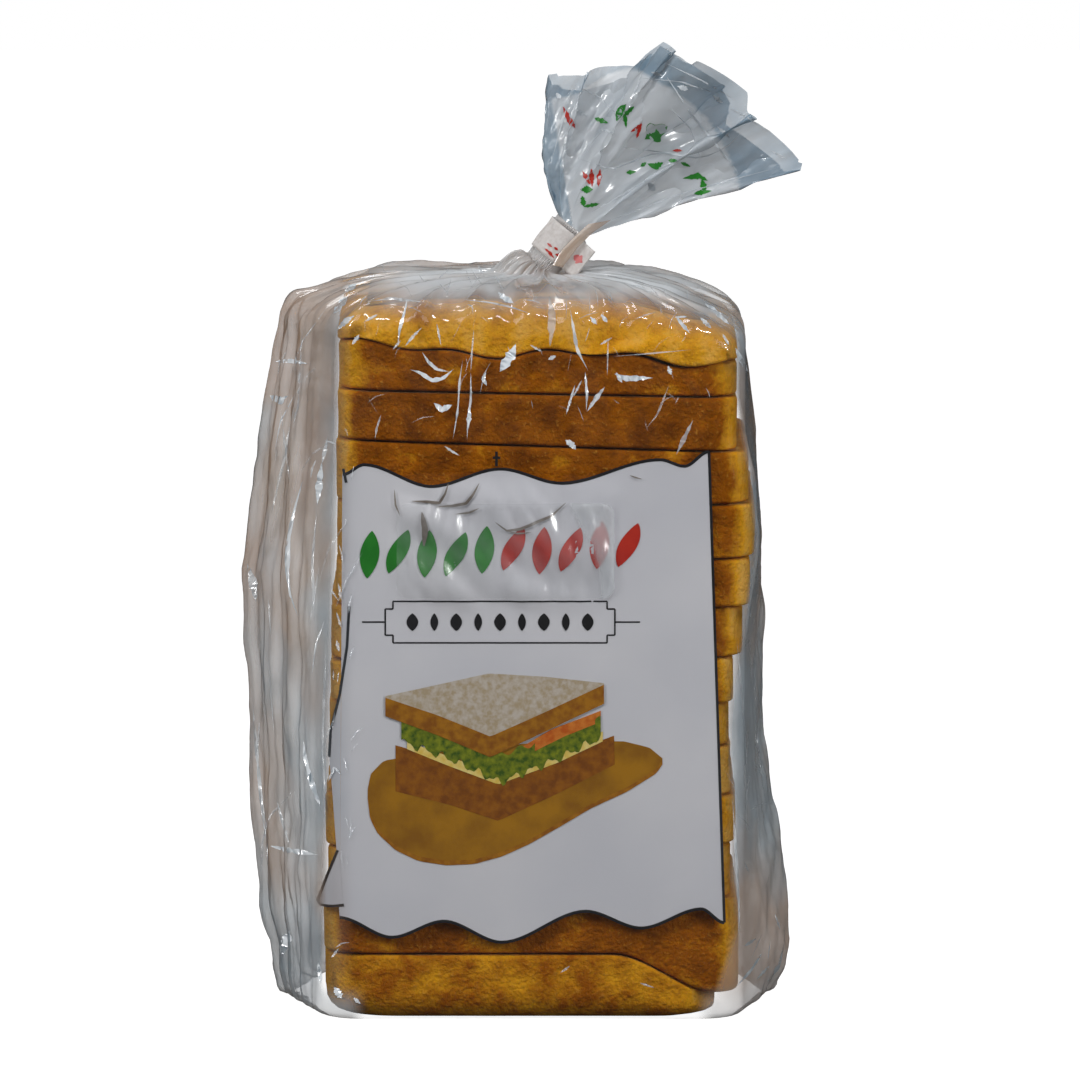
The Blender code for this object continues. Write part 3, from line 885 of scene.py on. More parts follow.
# %% Sandwich picture
BOARD_FAR = (
    (-43.2, 60.5), (-42.4, 64.5), (-39.0, 68.0), (-20.0, 71.0),
    (5.0, 73.0), (23.0, 73.0), (29.5, 71.4), (32.9, 68.6),
)
BOARD_NEAR = (
    (-43.2, 59.3), (-42.6, 54.0), (-40.6, 50.1), (-36.0, 45.8), (-30.1, 43.0), (-23.0, 41.9),
    (-15.7, 42.2), (-8.5, 44.2), (-1.3, 47.5), (6.5, 52.0), (14.4, 56.7), (24.0, 61.2),
    (31.4, 65.9), (32.9, 68.2),
)
print_field("picture_board", straight_line(BOARD_NEAR, 60), straight_line(BOARD_FAR, 60), board_ink, 2)
print_field(
    "picture_board_edge",
    straight_line(BOARD_NEAR, 60) - (0.0, 1.2),
    straight_line(BOARD_NEAR, 60),
    rim_ink,
    2,
)
LOWER_FOOT = ((-36.0, 60.0), (-22.0, 56.5), (-9.5, 52.3), (6.0, 59.5), (20.6, 67.0))
LOWER_HEAD = ((-36.0, 72.0), (-22.0, 68.0), (-9.5, 63.8), (6.0, 69.0), (20.4, 74.5))
print_field("picture_lower_bread", straight_line(LOWER_FOOT, 50), straight_line(LOWER_HEAD, 50), crumb_ink, 3)
CHEESE_FOOT = ((-33.0, 71.0), (-22.0, 66.5), (-9.5, 61.8), (6.0, 67.5), (17.5, 73.0))
CHEESE_HEAD = ((-33.0, 73.0), (-22.0, 69.0), (-9.5, 64.4), (6.0, 70.0), (17.5, 75.6))
print_field("picture_cheese", straight_line(CHEESE_FOOT, 50), straight_line(CHEESE_HEAD, 50), cheese_ink, 4)
TOMATO_FOOT = ((-6.0, 65.5), (4.0, 70.0), (17.0, 76.0))
TOMATO_HEAD = ((-6.0, 70.0), (4.0, 76.0), (17.0, 81.0))
print_field("picture_tomato", straight_line(TOMATO_FOOT, 40), straight_line(TOMATO_HEAD, 40), tomato_ink, 4)
frill = np.linspace(0.0, 1.0, 90)
lettuce_foot = straight_line(((-34.5, 73.0), (-22.0, 68.5), (-9.0, 62.3), (6.0, 68.5), (17.0, 74.0)), 90)
lettuce_head = straight_line(((-34.5, 79.0), (-22.0, 75.5), (-9.0, 69.5), (6.0, 74.5), (17.0, 79.0)), 90)
lettuce_foot[:, 1] += 0.9 * np.sin(frill * 70) + 0.5 * np.sin(frill * 131 + 1)
lettuce_head[:, 1] += 0.8 * np.sin(frill * 63 + 2)
print_field("picture_lettuce", lettuce_foot, lettuce_head, lettuce_ink, 5)
print_field(
    "picture_tomato_front",
    straight_line(((0.0, 70.5), (8.0, 74.5), (15.5, 77.5)), 20),
    straight_line(((0.0, 73.0), (8.0, 77.0), (15.5, 80.0)), 20),
    tomato_ink,
    6,
)
UPPER_FOOT = ((-38.6, 79.6), (-25.0, 74.6), (-11.5, 68.9), (2.5, 75.5), (17.8, 82.8))
UPPER_HEAD = ((-38.6, 84.4), (-25.0, 79.8), (-11.5, 74.3), (2.5, 80.6), (17.8, 87.8))
print_field("picture_upper_edge", straight_line(UPPER_FOOT, 50), straight_line(UPPER_HEAD, 50), rim_ink, 7)
UPPER_BACK = ((-38.6, 84.8), (-24.0, 88.0), (-12.0, 90.7), (2.0, 89.9), (17.8, 88.2))
print_field("picture_upper_top", straight_line(UPPER_HEAD, 50), straight_line(UPPER_BACK, 50), toast_ink, 7)

# %% [markdown]
# Under the head of the white field the film is wrinkled, and the shade in its creases is painted as dark
# tapered strokes of ink on the white.

# %% Painted crease shade in the wrinkled part
CREASE_SHADOWS = (
    (0.75, (-31.7, 135.5), (-27.5, 135.3), (-24.6, 135.0), (-23.1, 137.4), (-22.3, 140.0)),
    (0.8, (-25.4, 134.0), (-21.7, 134.2), (-17.8, 134.8), (-16.0, 137.1), (-14.4, 140.0)),
    (0.55, (-20.4, 132.1), (-17.0, 132.4), (-14.4, 133.7)),
    (0.8, (-10.2, 130.0), (-7.3, 127.9), (-3.9, 128.2), (0.3, 130.0), (4.5, 131.8), (7.9, 135.0)),
    (0.4, (-7.3, 127.9), (-4.5, 127.1), (-1.0, 127.4)),
    (0.45, (-36.2, 138.4), (-35.9, 134.5), (-34.8, 131.8)),
    (0.35, (27.5, 141.1), (25.7, 141.6), (24.4, 142.1)),
    (1.6, (-29.1, 132.6), (-28.3, 128.4), (-28.6, 123.9)),
)
crease_shadow = ink_material("film_crease_shadow", "#6E645C", "#8F8780", 3.0)
for k, (width, *knots) in enumerate(CREASE_SHADOWS):
    line = straight_line(knots, 24)
    along = np.gradient(line, axis=0)
    along /= np.linalg.norm(along, axis=1, keepdims=True)
    half = width / 2 * np.sin(np.linspace(0.1, math.pi - 0.1, 24)) ** 0.8
    spread = np.column_stack([-along[:, 1], along[:, 0]]) * half[:, None]
    print_field(f"crease_shadow_{k}", line - spread, line + spread, crease_shadow, 8)

# %% [markdown]
# ## Creases with painted highlights
#
# A sharp crease in film mirrors the lamps along a hairline and turns milky where the plastic has stretched.
# These are far finer than the film's grid, so each is a sliver of its own. The slivers are painted
# highlights: their milky white stands in for the glints, partly as the real whitening of stretched film,
# while their gloss mirrors the lamps. The main ones are listed as lines on an upright plane through the
# pack's middle, as seen from the viewing place, and are carried from there onto the film. Smaller ones are
# strewn between them at random.

# %% Where the pack is looked at
pack_middle = np.array([0.0013, 0.0, 0.1195])
VIEW_DISTANCE = 3.0
VIEW_RISE = math.radians(6.5)
back_off = np.array([0.0, -math.cos(VIEW_RISE), math.sin(VIEW_RISE)]) * VIEW_DISTANCE
viewing_place = (pack_middle + back_off) / MM


def surface_tree(grid, closed=True):
    """A search tree over a grid's quads, for finding where a ray meets it."""
    faces = grid_faces(*grid.shape[:2], closed=closed)
    return BVHTree.FromPolygons(grid.reshape(-1, 3).tolist(), faces.tolist())


def carry_onto(tree, plane_points):
    """Where the rays from the viewing place through (x, z) plane points first meet a surface."""
    hits = []
    for x, z in plane_points:
        ray = np.array([x, 0.0, z]) - viewing_place
        hit = tree.ray_cast(viewing_place.tolist(), ray.tolist())[0]
        hits.append([np.nan] * 3 if hit is None else list(hit))
    return np.array(hits)


# %% [markdown]
# Each sliver is a tapered ribbon with its two edges on the film. It is lifted a
# little towards the viewer and faces them.

# %% Crease slivers with painted highlights
# Width in mm, strength of the painted highlight, then the line's points (x, z) in mm.
CREASE_GLINTS = (
    (1.0, 0.9, (-33.3, 183.3), (-34.1, 179.6), (-35.4, 174.9), (-35.9, 170.7)),
    (0.6, 0.7, (-18.9, 182.8), (-11.8, 182.0), (-6.0, 180.7), (-1.3, 179.1)),
    (2.0, 0.95, (-9.7, 184.7), (-7.9, 183.1), (-5.5, 181.8)),
    (2.2, 0.45, (3.7, 183.9), (4.5, 178.1), (3.9, 170.4)),
    (1.0, 0.85, (9.2, 180.2), (10.0, 175.4), (11.0, 169.6), (12.6, 166.5), (13.9, 164.1)),
    (1.3, 0.95, (14.4, 178.3), (16.2, 176.2)),
    (1.5, 0.9, (17.3, 178.9), (18.9, 176.7)),
    (1.2, 0.9, (36.7, 178.6), (38.5, 176.2), (40.6, 173.8)),
    (0.8, 0.8, (36.4, 178.1), (39.8, 178.3)),
    (0.4, 0.5, (20.2, 167.8), (30.1, 168.6), (41.1, 169.6)),
    (3.6, 1.0, (-5.0, 171.2), (-6.0, 168.6), (-9.2, 163.8)),
    (1.3, 0.9, (-12.8, 163.6), (-13.6, 162.0), (-12.6, 160.1)),
    (0.9, 0.85, (-29.6, 169.1), (-28.0, 166.5), (-25.7, 164.4), (-22.3, 163.8)),
    (1.3, 0.95, (-32.8, 164.4), (-30.1, 163.6), (-27.0, 161.5), (-24.1, 162.0), (-21.2, 164.6)),
    (0.7, 0.75, (-18.9, 167.0), (-19.7, 161.7), (-20.2, 153.8), (-21.5, 145.9)),
    (0.6, 0.6, (-16.0, 174.9), (-16.5, 169.1), (-16.8, 163.8)),
    (0.7, 0.7, (-16.8, 163.8), (-16.8, 156.4), (-17.6, 151.2), (-17.8, 145.6)),
    (1.4, 0.95, (-17.0, 154.3), (-17.6, 148.5)),
    (0.4, 0.45, (-14.4, 157.8), (-13.4, 163.0), (-11.5, 166.5)),
    (2.4, 0.9, (-26.5, 155.6), (-24.4, 153.8), (-21.7, 155.1)),
    (1.9, 0.95, (20.7, 163.3), (23.8, 162.0), (30.9, 162.2)),
    (1.3, 0.9, (21.2, 163.6), (22.8, 160.9)),
    (0.9, 0.85, (13.1, 163.8), (13.6, 157.8), (13.4, 153.5)),
    (1.5, 0.8, (18.3, 159.9), (15.7, 156.4), (13.6, 153.3)),
    (0.7, 0.7, (12.3, 161.7), (10.0, 157.2)),
    (0.5, 0.5, (19.1, 172.3), (18.9, 162.8)),
    (1.9, 0.9, (7.9, 145.9), (9.7, 144.6), (10.7, 143.3)),
    (1.4, 0.9, (34.8, 165.4), (35.6, 163.0)),
    (0.8, 0.5, (-40.3, 152.5), (-41.4, 149.1), (-41.9, 146.2)),
    (0.8, 0.8, (-23.8, 144.3), (-21.5, 142.7), (-19.7, 141.7)),
    (0.8, 0.8, (-34.1, 170.4), (-31.7, 173.3), (-29.6, 175.4)),
    (0.7, 0.7, (-37.2, 169.6), (-35.1, 172.0)),
    (0.7, 0.7, (-25.7, 176.5), (-24.6, 170.7)),
    (2.4, 0.95, (-52.7, 179.1), (-50.8, 181.5), (-49.0, 183.6)),
    (1.6, 0.9, (-51.6, 174.9), (-49.3, 177.3), (-47.2, 178.6)),
    (1.2, 0.8, (-47.9, 170.9), (-45.9, 173.6)),
    (1.0, 0.7, (-44.5, 177.0), (-41.1, 178.9)),
    (1.6, 0.9, (-49.8, 184.9), (-46.6, 186.8)),
    (0.9, 0.6, (-42.7, 182.3), (-37.5, 183.1), (-28.8, 182.0)),
    (0.7, 0.7, (17.0, 170.9), (20.2, 172.8)),
    (1.2, 0.8, (3.4, 167.0), (5.5, 168.0)),
    (0.8, 0.7, (-1.3, 170.9), (1.6, 169.1)),
    (0.9, 0.8, (10.5, 160.4), (8.1, 152.5)),
    (0.6, 0.4, (28.8, 148.5), (32.0, 152.5), (35.1, 160.4)),
    (2.0, 0.9, (44.3, 181.8), (47.4, 179.4), (50.8, 176.2)),
    (1.6, 0.9, (52.4, 170.2), (54.0, 166.7), (55.8, 163.6)),
    (1.4, 0.8, (43.2, 178.1), (46.1, 175.2)),
    (1.0, 0.7, (49.0, 173.8), (50.8, 170.7)),
    (1.3, 0.5, (41.4, 151.2), (36.9, 141.9)),
    (0.9, 0.8, (53.2, 1.4), (56.9, 5.6), (59.7, 10.1)),
    (0.8, 0.7, (58.2, 3.0), (61.8, 6.9)),
    (1.2, 0.8, (61.0, 2.2), (64.2, 6.7), (65.2, 10.9)),
    (1.0, 0.6, (55.0, 11.9), (58.2, 14.0)),
    (0.7, 0.5, (63.1, 20.6), (64.5, 16.2)),
    (0.9, 0.5, (51.9, 51.0), (52.9, 35.1), (54.0, 15.4)),
    (0.8, 0.45, (52.9, 93.2), (54.5, 77.3), (55.3, 60.2), (55.5, 41.7)),
    (1.0, 0.6, (55.8, 102.9), (56.6, 99.0)),
    (0.8, 0.4, (57.4, 87.9), (58.2, 66.8), (60.3, 51.0)),
    (
        1.6, 0.75, (-60.8, 135.3), (-63.1, 127.4), (-64.7, 119.5),
        (-65.0, 111.1), (-64.2, 104.8), (-62.1, 99.2),
    ),
    (2.0, 0.8, (-55.8, 140.1), (-56.6, 133.5), (-57.1, 128.5)),
    (1.1, 0.5, (-54.2, 146.9), (-55.8, 139.6)),
    (0.9, 0.4, (-57.1, 128.0), (-58.4, 114.2), (-57.9, 97.9)),
    (1.3, 0.75, (-68.1, 166.5), (-64.2, 166.7), (-59.5, 165.9)),
    (2.2, 0.8, (-69.4, 157.5), (-66.8, 156.2), (-64.7, 157.5)),
    (1.9, 1.0, (-60.8, 66.8), (-60.5, 62.6), (-59.2, 57.0), (-57.6, 52.3), (-56.1, 48.1)),
    (1.1, 0.6, (-74.1, 76.0), (-72.8, 60.2), (-71.5, 45.7), (-70.5, 39.1)),
    (1.5, 0.8, (-70.5, 38.8), (-65.2, 37.5), (-56.9, 36.2)),
    (0.9, 0.5, (-67.9, 51.0), (-66.0, 43.6), (-64.5, 38.8)),
    (3.2, 0.95, (-64.5, 16.2), (-65.5, 13.0), (-66.8, 9.6)),
    (0.9, 0.45, (-72.8, 23.3), (-67.6, 25.1), (-60.8, 28.5), (-53.2, 33.3)),
    (1.6, 0.85, (-57.1, 7.7), (-56.3, 1.9)),
    (2.6, 0.9, (-52.9, 1.1), (-50.8, -2.0)),
    (2.2, 0.5, (-75.5, 113.5), (-74.1, 109.0), (-73.1, 102.9)),
    (1.4, 0.4, (-60.8, 174.9), (-62.1, 156.4), (-66.0, 139.3), (-69.2, 126.1)),
    (1.0, 0.6, (-54.5, 55.4), (-52.7, 59.4), (-50.8, 57.3)),
    (1.2, 0.4, (-71.5, 16.7), (-68.9, 18.0), (-65.8, 16.7)),
    (0.7, 0.4, (-73.1, 61.5), (-72.3, 72.1)),
    (0.9, 0.6, (-51.6, 108.2), (-50.8, 103.7)),
    (0.8, 0.6, (-52.1, 100.5), (-50.8, 96.3)),
    (1.2, 0.6, (-52.1, 93.2), (-51.4, 90.0)),
    (0.8, 0.4, (-54.8, 93.2), (-55.8, 66.8), (-55.0, 43.0)),
    (0.9, 0.35, (-65.5, 182.8), (-67.9, 170.9)),
    (1.0, 0.8, (-47.9, -1.8), (-45.9, -3.4)),
    (0.8, 0.6, (-53.7, 8.8), (-51.6, 11.4)),
    (0.7, 0.5, (6.6, 4.8), (9.2, 6.7)),
    (0.7, 0.5, (27.5, 2.2), (31.4, 0.9)),
)
SLIVER_STEPS = 13
LIFT = 0.12
# Facets at a crease lean every way, and what shows is those that mirror the main lamp:
# their normal halves the angle between the way to the lamp and the way to the viewer.
LAMP_WAY = np.array([-0.50, -0.59, 0.63])
VIEW_WAY = back_off / np.linalg.norm(back_off)


def sliver(line, width):
    """Two edges on the film: the line spread to half the width, tapering to points.

    Half the width at s of the length is sin(pi s) times a random 0.5 to 1.1.
    """
    line = even_out(np.array(line), SLIVER_STEPS - 1)
    along = np.gradient(line, axis=0)
    along /= np.linalg.norm(along, axis=1, keepdims=True)
    across = np.column_stack([-along[:, 1], along[:, 0]])
    share = np.sin(np.linspace(0.0, math.pi, SLIVER_STEPS))
    half = width / 2 * share * rng.uniform(0.5, 1.1, SLIVER_STEPS)
    return line - across * half[:, None], line + across * half[:, None]


def strewn(count, x_range, z_range, length, lean, width):
    """Random short lines: place, length, lean from upright and bend all drawn from ranges."""
    lines = []
    for _ in range(count):
        start = np.array([rng.uniform(*x_range), rng.uniform(*z_range)])
        angle = rng.normal(0.0, lean) + rng.normal(0.0, 0.5) * np.array([0.0, 0.5, 1.0])
        run = rng.uniform(*length) / 2 * np.column_stack([np.sin(angle), np.cos(angle)])
        lines.append((rng.uniform(*width), rng.uniform(0.15, 0.6), *(start + np.cumsum(run, axis=0))))
    return lines


def slivers_on(tree, lines, lift):
    """Ribbons of all the lines that meet the surface, each facing the viewing place."""
    ribbons, strengths = [], []
    for width, strength, line in lines:
        ribbon = np.stack([carry_onto(tree, edge) for edge in sliver(line, width)], axis=1)
        if np.isnan(ribbon).any():
            continue
        front = np.cross(ribbon[:, 1] - ribbon[:, 0], np.gradient(ribbon[:, 0], axis=0)) @ VIEW_WAY
        ribbons.append((ribbon if front.sum() > 0 else ribbon[:, ::-1]) + VIEW_WAY * lift)
        strengths.append(np.full(SLIVER_STEPS * 2, strength))
    print(f"{len(ribbons)} of {len(lines)} lines meet the surface")
    return np.array(ribbons), np.concatenate(strengths)


def add_slivers(name, tree, lines, lift, material, replaces):
    """One object with all the ribbons, and the strength of each painted on it."""
    ribbons, strengths = slivers_on(tree, lines, lift)
    quad = grid_faces(SLIVER_STEPS, 2)
    faces = (quad[None] + (np.arange(len(ribbons)) * SLIVER_STEPS * 2)[:, None, None]).reshape(-1, 4)
    piece = add_piece(name, ribbons, faces, material, replaces)
    paint(piece, "strength", strengths)
    return piece


def glint_normals(piece):
    """Gives each point a normal near the one that mirrors the main lamp."""
    halfway = LAMP_WAY + VIEW_WAY + rng.normal(0.0, 0.22, (len(piece.data.vertices), 3))
    halfway /= np.linalg.norm(halfway, axis=1, keepdims=True)
    piece.data.normals_split_custom_set_from_vertices(halfway.tolist())


listed = [(width, strength, line) for width, strength, *line in CREASE_GLINTS]
random_ones = (
    strewn(46, (-48.0, 50.0), (176.0, 190.0), (2.0, 7.0), 0.7, (0.2, 0.7))
    + strewn(34, (-46.0, 46.0), (146.0, 176.0), (2.0, 7.0), 0.5, (0.15, 0.4))
    + strewn(26, (-72.0, -54.0), (8.0, 175.0), (4.0, 22.0), 0.12, (0.25, 0.8))
    + strewn(16, (54.0, 62.0), (4.0, 60.0), (3.0, 14.0), 0.4, (0.2, 0.6))
    + strewn(22, (-55.0, -48.0), (8.0, 150.0), (2.0, 6.0), 0.3, (0.2, 0.6))
)
listed += [(width, strength, line) for width, strength, *line in random_ones]


def glint_and_whitening_material():
    """Painted highlight on stretched polypropylene: milky white that stands in for the glint, partly real
    whitening, under several plies' worth of mirror.
    """
    material, tree, output = new_material("painted_glint_and_whitened_film")
    strength = add_node(tree, "ShaderNodeAttribute", attribute_name="strength").outputs["Fac"]
    clear = add_node(tree, "ShaderNodeBsdfTransparent")
    milky = add_node(
        tree,
        "ShaderNodeBsdfPrincipled",
        {"Base Color": colour("#BCC6CE"), "Roughness": 0.16, "IOR": 1.9},
    )
    glow = add_node(
        tree, "ShaderNodeMixShader", links={0: strength, 1: clear.outputs[0], 2: milky.outputs[0]}
    )
    tree.links.new(glow.outputs[0], output.inputs["Surface"])
    return material


glint_and_whitening = glint_and_whitening_material()
# The slivers are painted highlights. They are milky white where the glints show, and their normals are turned
# to mirror the main lamp.
glint_normals(
    add_slivers("film_crease_glints", surface_tree(film), listed, LIFT, glint_and_whitening, "bag")
)

# %% [markdown]
# ## Tail
#
# Above the neck the bag's open end fans out. Going once round its mouth, the film
# zigzags: the angle of each rib swings to the right over the front ply, back to the
# left over the back ply, with smaller swings on the way that lay one fold over the
# next. A rib is a quadratic Bezier curve from the neck to its place on the outline.

# %% Tail of the bag
# Corners of the fan's outline: angle from level in degrees, reach from the neck in mm.
TAIL_CORNERS = (
    (99, 39.8), (86, 39.9), (69, 44.6), (64, 53.8), (56, 53.6),
    (37, 57.3), (33, 54.3), (16, 62.8), (13, 61.0),
)
TAIL_COLUMNS = 420
TAIL_ROWS = 56
SWINGS = 6
SWING_SIZE = 0.055


def tail_surface():
    """The fan's points and how far along each rib they lie."""
    around = np.arange(TAIL_COLUMNS) / TAIL_COLUMNS
    round_share = 1.0 - abs(2.0 * around - 1.0)
    turn = 2 * math.pi * around
    swing = SWING_SIZE * np.sin(turn * SWINGS + 0.6) + 0.03 * np.sin(turn * 11 + 2.0)
    share = np.clip(round_share + swing * np.sin(math.pi * round_share) ** 0.5, 0.0, 1.0)
    angles = np.array([angle for angle, _ in TAIL_CORNERS], dtype=float)
    corner_share = (angles[0] - angles) / (angles[0] - angles[-1])
    end_angle = np.radians(np.interp(share, corner_share, angles))
    length = np.interp(share, corner_share, [reach for _, reach in TAIL_CORNERS])
    back_ply = around > 0.5
    front_cut = 1.0 - 0.02 * (np.sin(turn * 5) > 0.3)
    length = length * np.where(back_ply, 0.93 + 0.05 * np.sin(turn * 3), front_cut)
    middle_angle = np.radians(np.interp(share, (0.0, 1.0), (128.0, 11.0)))
    across, along = neck_frame(NECK_LEAN)
    top = NECK_FOOT + along * NECK_LENGTH
    start = top - NECK_RADIUS * (np.cos(turn)[:, None] * across + np.sin(turn)[:, None] * [0.0, 1.0, 0.0])
    flat = np.zeros_like(around)
    middle_way = np.column_stack([np.cos(middle_angle), flat, np.sin(middle_angle)])
    middle = top + middle_way * (0.42 * length)[:, None]
    end = top + np.column_stack([np.cos(end_angle), flat, np.sin(end_angle)]) * length[:, None]
    r = np.linspace(0.0, 1.0, TAIL_ROWS)[:, None, None]
    points = (1 - r) ** 2 * start + 2 * r * (1 - r) * middle + r**2 * end
    r = r[..., 0]
    ply_gap = np.where(back_ply, 1.0, -1.0) * 2.2 * np.sin(math.pi * round_share) ** 0.5
    zigzag = 5.5 * np.sin(turn * SWINGS + 0.6 + math.pi / 2) + 3.0 * np.sin(turn * 11 + 3.5)
    ruffle = 6.0 * np.sin(2 * math.pi * 1.3 * share + 0.5)
    points[..., 1] += r * ply_gap + r**1.1 * (zigzag * np.sin(math.pi * round_share) ** 0.7 + ruffle)
    crumple = (panels(points, (9.0, 13.0, 17.0, 7.0), 31) - 0.5) * 3.0
    crumple = crumple + (panels(points, (3.0, 4.0, 5.0), 37) - 0.5) * 0.8
    normal = surface_normals(points)
    points = points + normal * (crumple * smooth_step(r / 0.3))[..., None]
    return points, top, r + np.zeros_like(points[..., 0])


tail, tail_root, tail_r = tail_surface()
from_root = tail - tail_root
tail_distance = np.linalg.norm(from_root[..., [0, 2]], axis=2)
tail_angle = np.degrees(np.arctan2(from_root[..., 2], from_root[..., 0]))
ink_reach = 34.0 + 11.0 * smooth_step((93.0 - tail_angle) / 29.0)
tail_ink = smooth_step((ink_reach - tail_distance) / 0.9) * smooth_step((101.0 - tail_angle) / 3.0)
open_film = film_material("clear_polypropylene_open_end", "#7490A6", "#8AA2B4", 0.12)
tail_film = add_piece(
    "tail_film", tail, grid_faces(TAIL_ROWS, TAIL_COLUMNS, closed=True), open_film, "bag"
)
paint(tail_film, "haze", 0.84 + 0.12 * noise(tail, 11.0, 4))
paint(tail_film, "ink", tail_ink * (0.74 + 0.16 * noise(tail, 13.0, 6)))

# %% [markdown]
# The tail has slivers of its own along its fold edges, painted highlights as on the body, and strokes of
# print.

# %% Fold edges with painted highlights, and scraps of print on the tail
# The print runs on over the bag's mouth, where folds cut it into scraps of green and red.
TAIL_CREASE_GLINTS = (
    (0.5, 0.6, (28.3, 242.9), (25.4, 235.6), (23.3, 230.8)),
    (0.6, 0.6, (31.4, 245.6), (40.6, 231.6), (51.9, 217.6), (54.0, 214.2)),
    (0.5, 0.6, (10.0, 239.2), (6.6, 227.6), (4.5, 219.7)),
    (0.4, 0.5, (10.0, 239.2), (17.0, 235.6), (23.6, 229.0)),
    (0.5, 0.65, (20.2, 222.9), (30.1, 221.8), (43.2, 219.7), (49.8, 222.4), (55.0, 227.6)),
    (0.5, 0.6, (33.3, 245.0), (43.2, 240.3), (53.2, 234.5)),
    (0.5, 0.6, (11.3, 219.7), (20.2, 216.8), (30.1, 220.8), (40.6, 221.8)),
    (0.4, 0.5, (14.4, 205.5), (27.5, 213.1), (43.2, 222.4)),
    (0.4, 0.5, (18.1, 202.9), (38.0, 210.5), (64.2, 217.6)),
    (0.4, 0.5, (43.2, 219.7), (40.6, 227.6), (34.8, 233.4)),
    (0.5, 0.6, (50.6, 232.9), (55.0, 230.8), (58.4, 228.2)),
    (0.4, 0.5, (27.5, 240.8), (38.0, 239.8), (49.0, 236.1)),
    (0.5, 0.5, (3.4, 222.4), (2.6, 214.5), (3.4, 207.9)),
    (1.6, 0.9, (5.5, 236.9), (6.8, 235.3)),
    (1.3, 0.8, (10.5, 232.4), (14.1, 230.8)),
    (1.5, 0.9, (36.9, 238.7), (40.1, 237.7)),
    (1.3, 0.9, (46.4, 236.3), (49.0, 234.2)),
    (1.9, 0.85, (29.6, 213.4), (31.4, 211.0)),
    (1.0, 0.7, (30.1, 242.4), (33.3, 241.4)),
    (1.0, 0.7, (33.8, 248.7), (35.9, 246.6)),
    (1.0, 0.6, (47.4, 228.2), (51.1, 225.0)),
    (0.8, 0.6, (17.0, 227.6), (21.0, 226.1)),
    (0.8, 0.6, (61.6, 221.8), (65.5, 219.7)),
)
RED_SCRAPS = (
    (1.3, (7.3, 233.4), (8.4, 230.8), (9.2, 228.2)),
    (1.1, (8.6, 231.1), (10.5, 227.6)),
    (1.0, (24.9, 226.6), (28.0, 228.7)),
    (1.1, (27.8, 229.2), (26.5, 225.0)),
    (1.1, (12.3, 216.6), (14.4, 212.9)),
    (1.3, (14.7, 217.1), (14.9, 212.3)),
    (1.3, (17.0, 217.1), (16.5, 212.3)),
    (0.8, (35.9, 221.8), (38.5, 221.8)),
)
GREEN_SCRAPS = (
    (1.7, (21.2, 229.5), (22.3, 232.4), (23.8, 234.0)),
    (1.2, (22.8, 230.5), (25.9, 233.4)),
    (0.9, (23.8, 227.6), (23.3, 232.4)),
    (4.6, (28.6, 224.7), (31.4, 226.6), (34.6, 228.2)),
    (1.8, (11.8, 211.6), (15.2, 211.6)),
    (1.4, (12.3, 210.0), (12.8, 207.1)),
    (1.0, (12.6, 207.1), (17.0, 207.9)),
    (1.2, (23.8, 216.0), (26.5, 216.3)),
    (1.0, (27.5, 217.6), (29.1, 218.7)),
    (1.8, (29.3, 218.4), (31.4, 217.6), (33.5, 218.7)),
    (1.2, (34.8, 219.2), (37.2, 219.2)),
    (1.0, (38.0, 218.7), (40.6, 217.6)),
    (1.6, (38.5, 214.5), (42.7, 215.2), (45.1, 213.9)),
    (1.4, (43.5, 214.5), (44.5, 210.5)),
    (1.4, (41.4, 210.5), (46.1, 211.3)),
    (1.5, (15.5, 230.3), (19.1, 229.0)),
)
tail_tree = surface_tree(tail)
# These slivers are painted highlights along the tail's folds, milky white with normals turned to mirror the
# main lamp.
tail_lines = [(width, strength, line) for width, strength, *line in TAIL_CREASE_GLINTS]
glint_normals(add_slivers("tail_crease_glints", tail_tree, tail_lines, 0.3, glint_and_whitening, "bag"))
for name, scraps, ink in (
    ("tail_print_red", RED_SCRAPS, red_ink),
    ("tail_print_green", GREEN_SCRAPS, green_ink),
):
    lines = [(width * 1.2, 1.0, line) for width, *line in scraps]
    add_slivers(name, tail_tree, lines, 0.15, ink, "bag")
print("tail box, mm:", tail.reshape(-1, 3).min(axis=0).round(1), tail.reshape(-1, 3).max(axis=0).round(1))

# %% [markdown]
# ## Tape and label
#
# The neck is held by a paper tape about 9 mm wide whose two ends are stuck together
# as a flag. The tape is a ring with small wrinkles, and the flag a folded strip.

# %% Paper tape round the neck
TAPE_WIDTH = 9.0
TAPE_RISE = 7.7
TAPE_RADIUS = 5.5
TAPE_TURN = math.radians(-38)
FLAG_LENGTH = 5.2


def paper_material():
    """Uncoated white paper tape: matt, faintly fibrous, slightly warm."""
    material, tree, output = new_material("paper_tape")
    place = add_node(tree, "ShaderNodeTexCoord").outputs["Object"]
    fibre = add_node(tree, "ShaderNodeTexNoise", {"Scale": 900.0, "Detail": 4.0}, {"Vector": place})
    tone = ramp(tree, fibre.outputs["Fac"], [(0.3, "#C9C2BE"), (0.7, "#DEDAD8")])
    bump = add_node(
        tree, "ShaderNodeBump", {"Strength": 0.2, "Distance": 0.0002}, {"Height": fibre.outputs["Fac"]}
    )
    shader = add_node(
        tree,
        "ShaderNodeBsdfPrincipled",
        {"Roughness": 0.7},
        {"Base Color": tone, "Normal": bump.outputs["Normal"]},
    )
    tree.links.new(shader.outputs[0], output.inputs["Surface"])
    return material


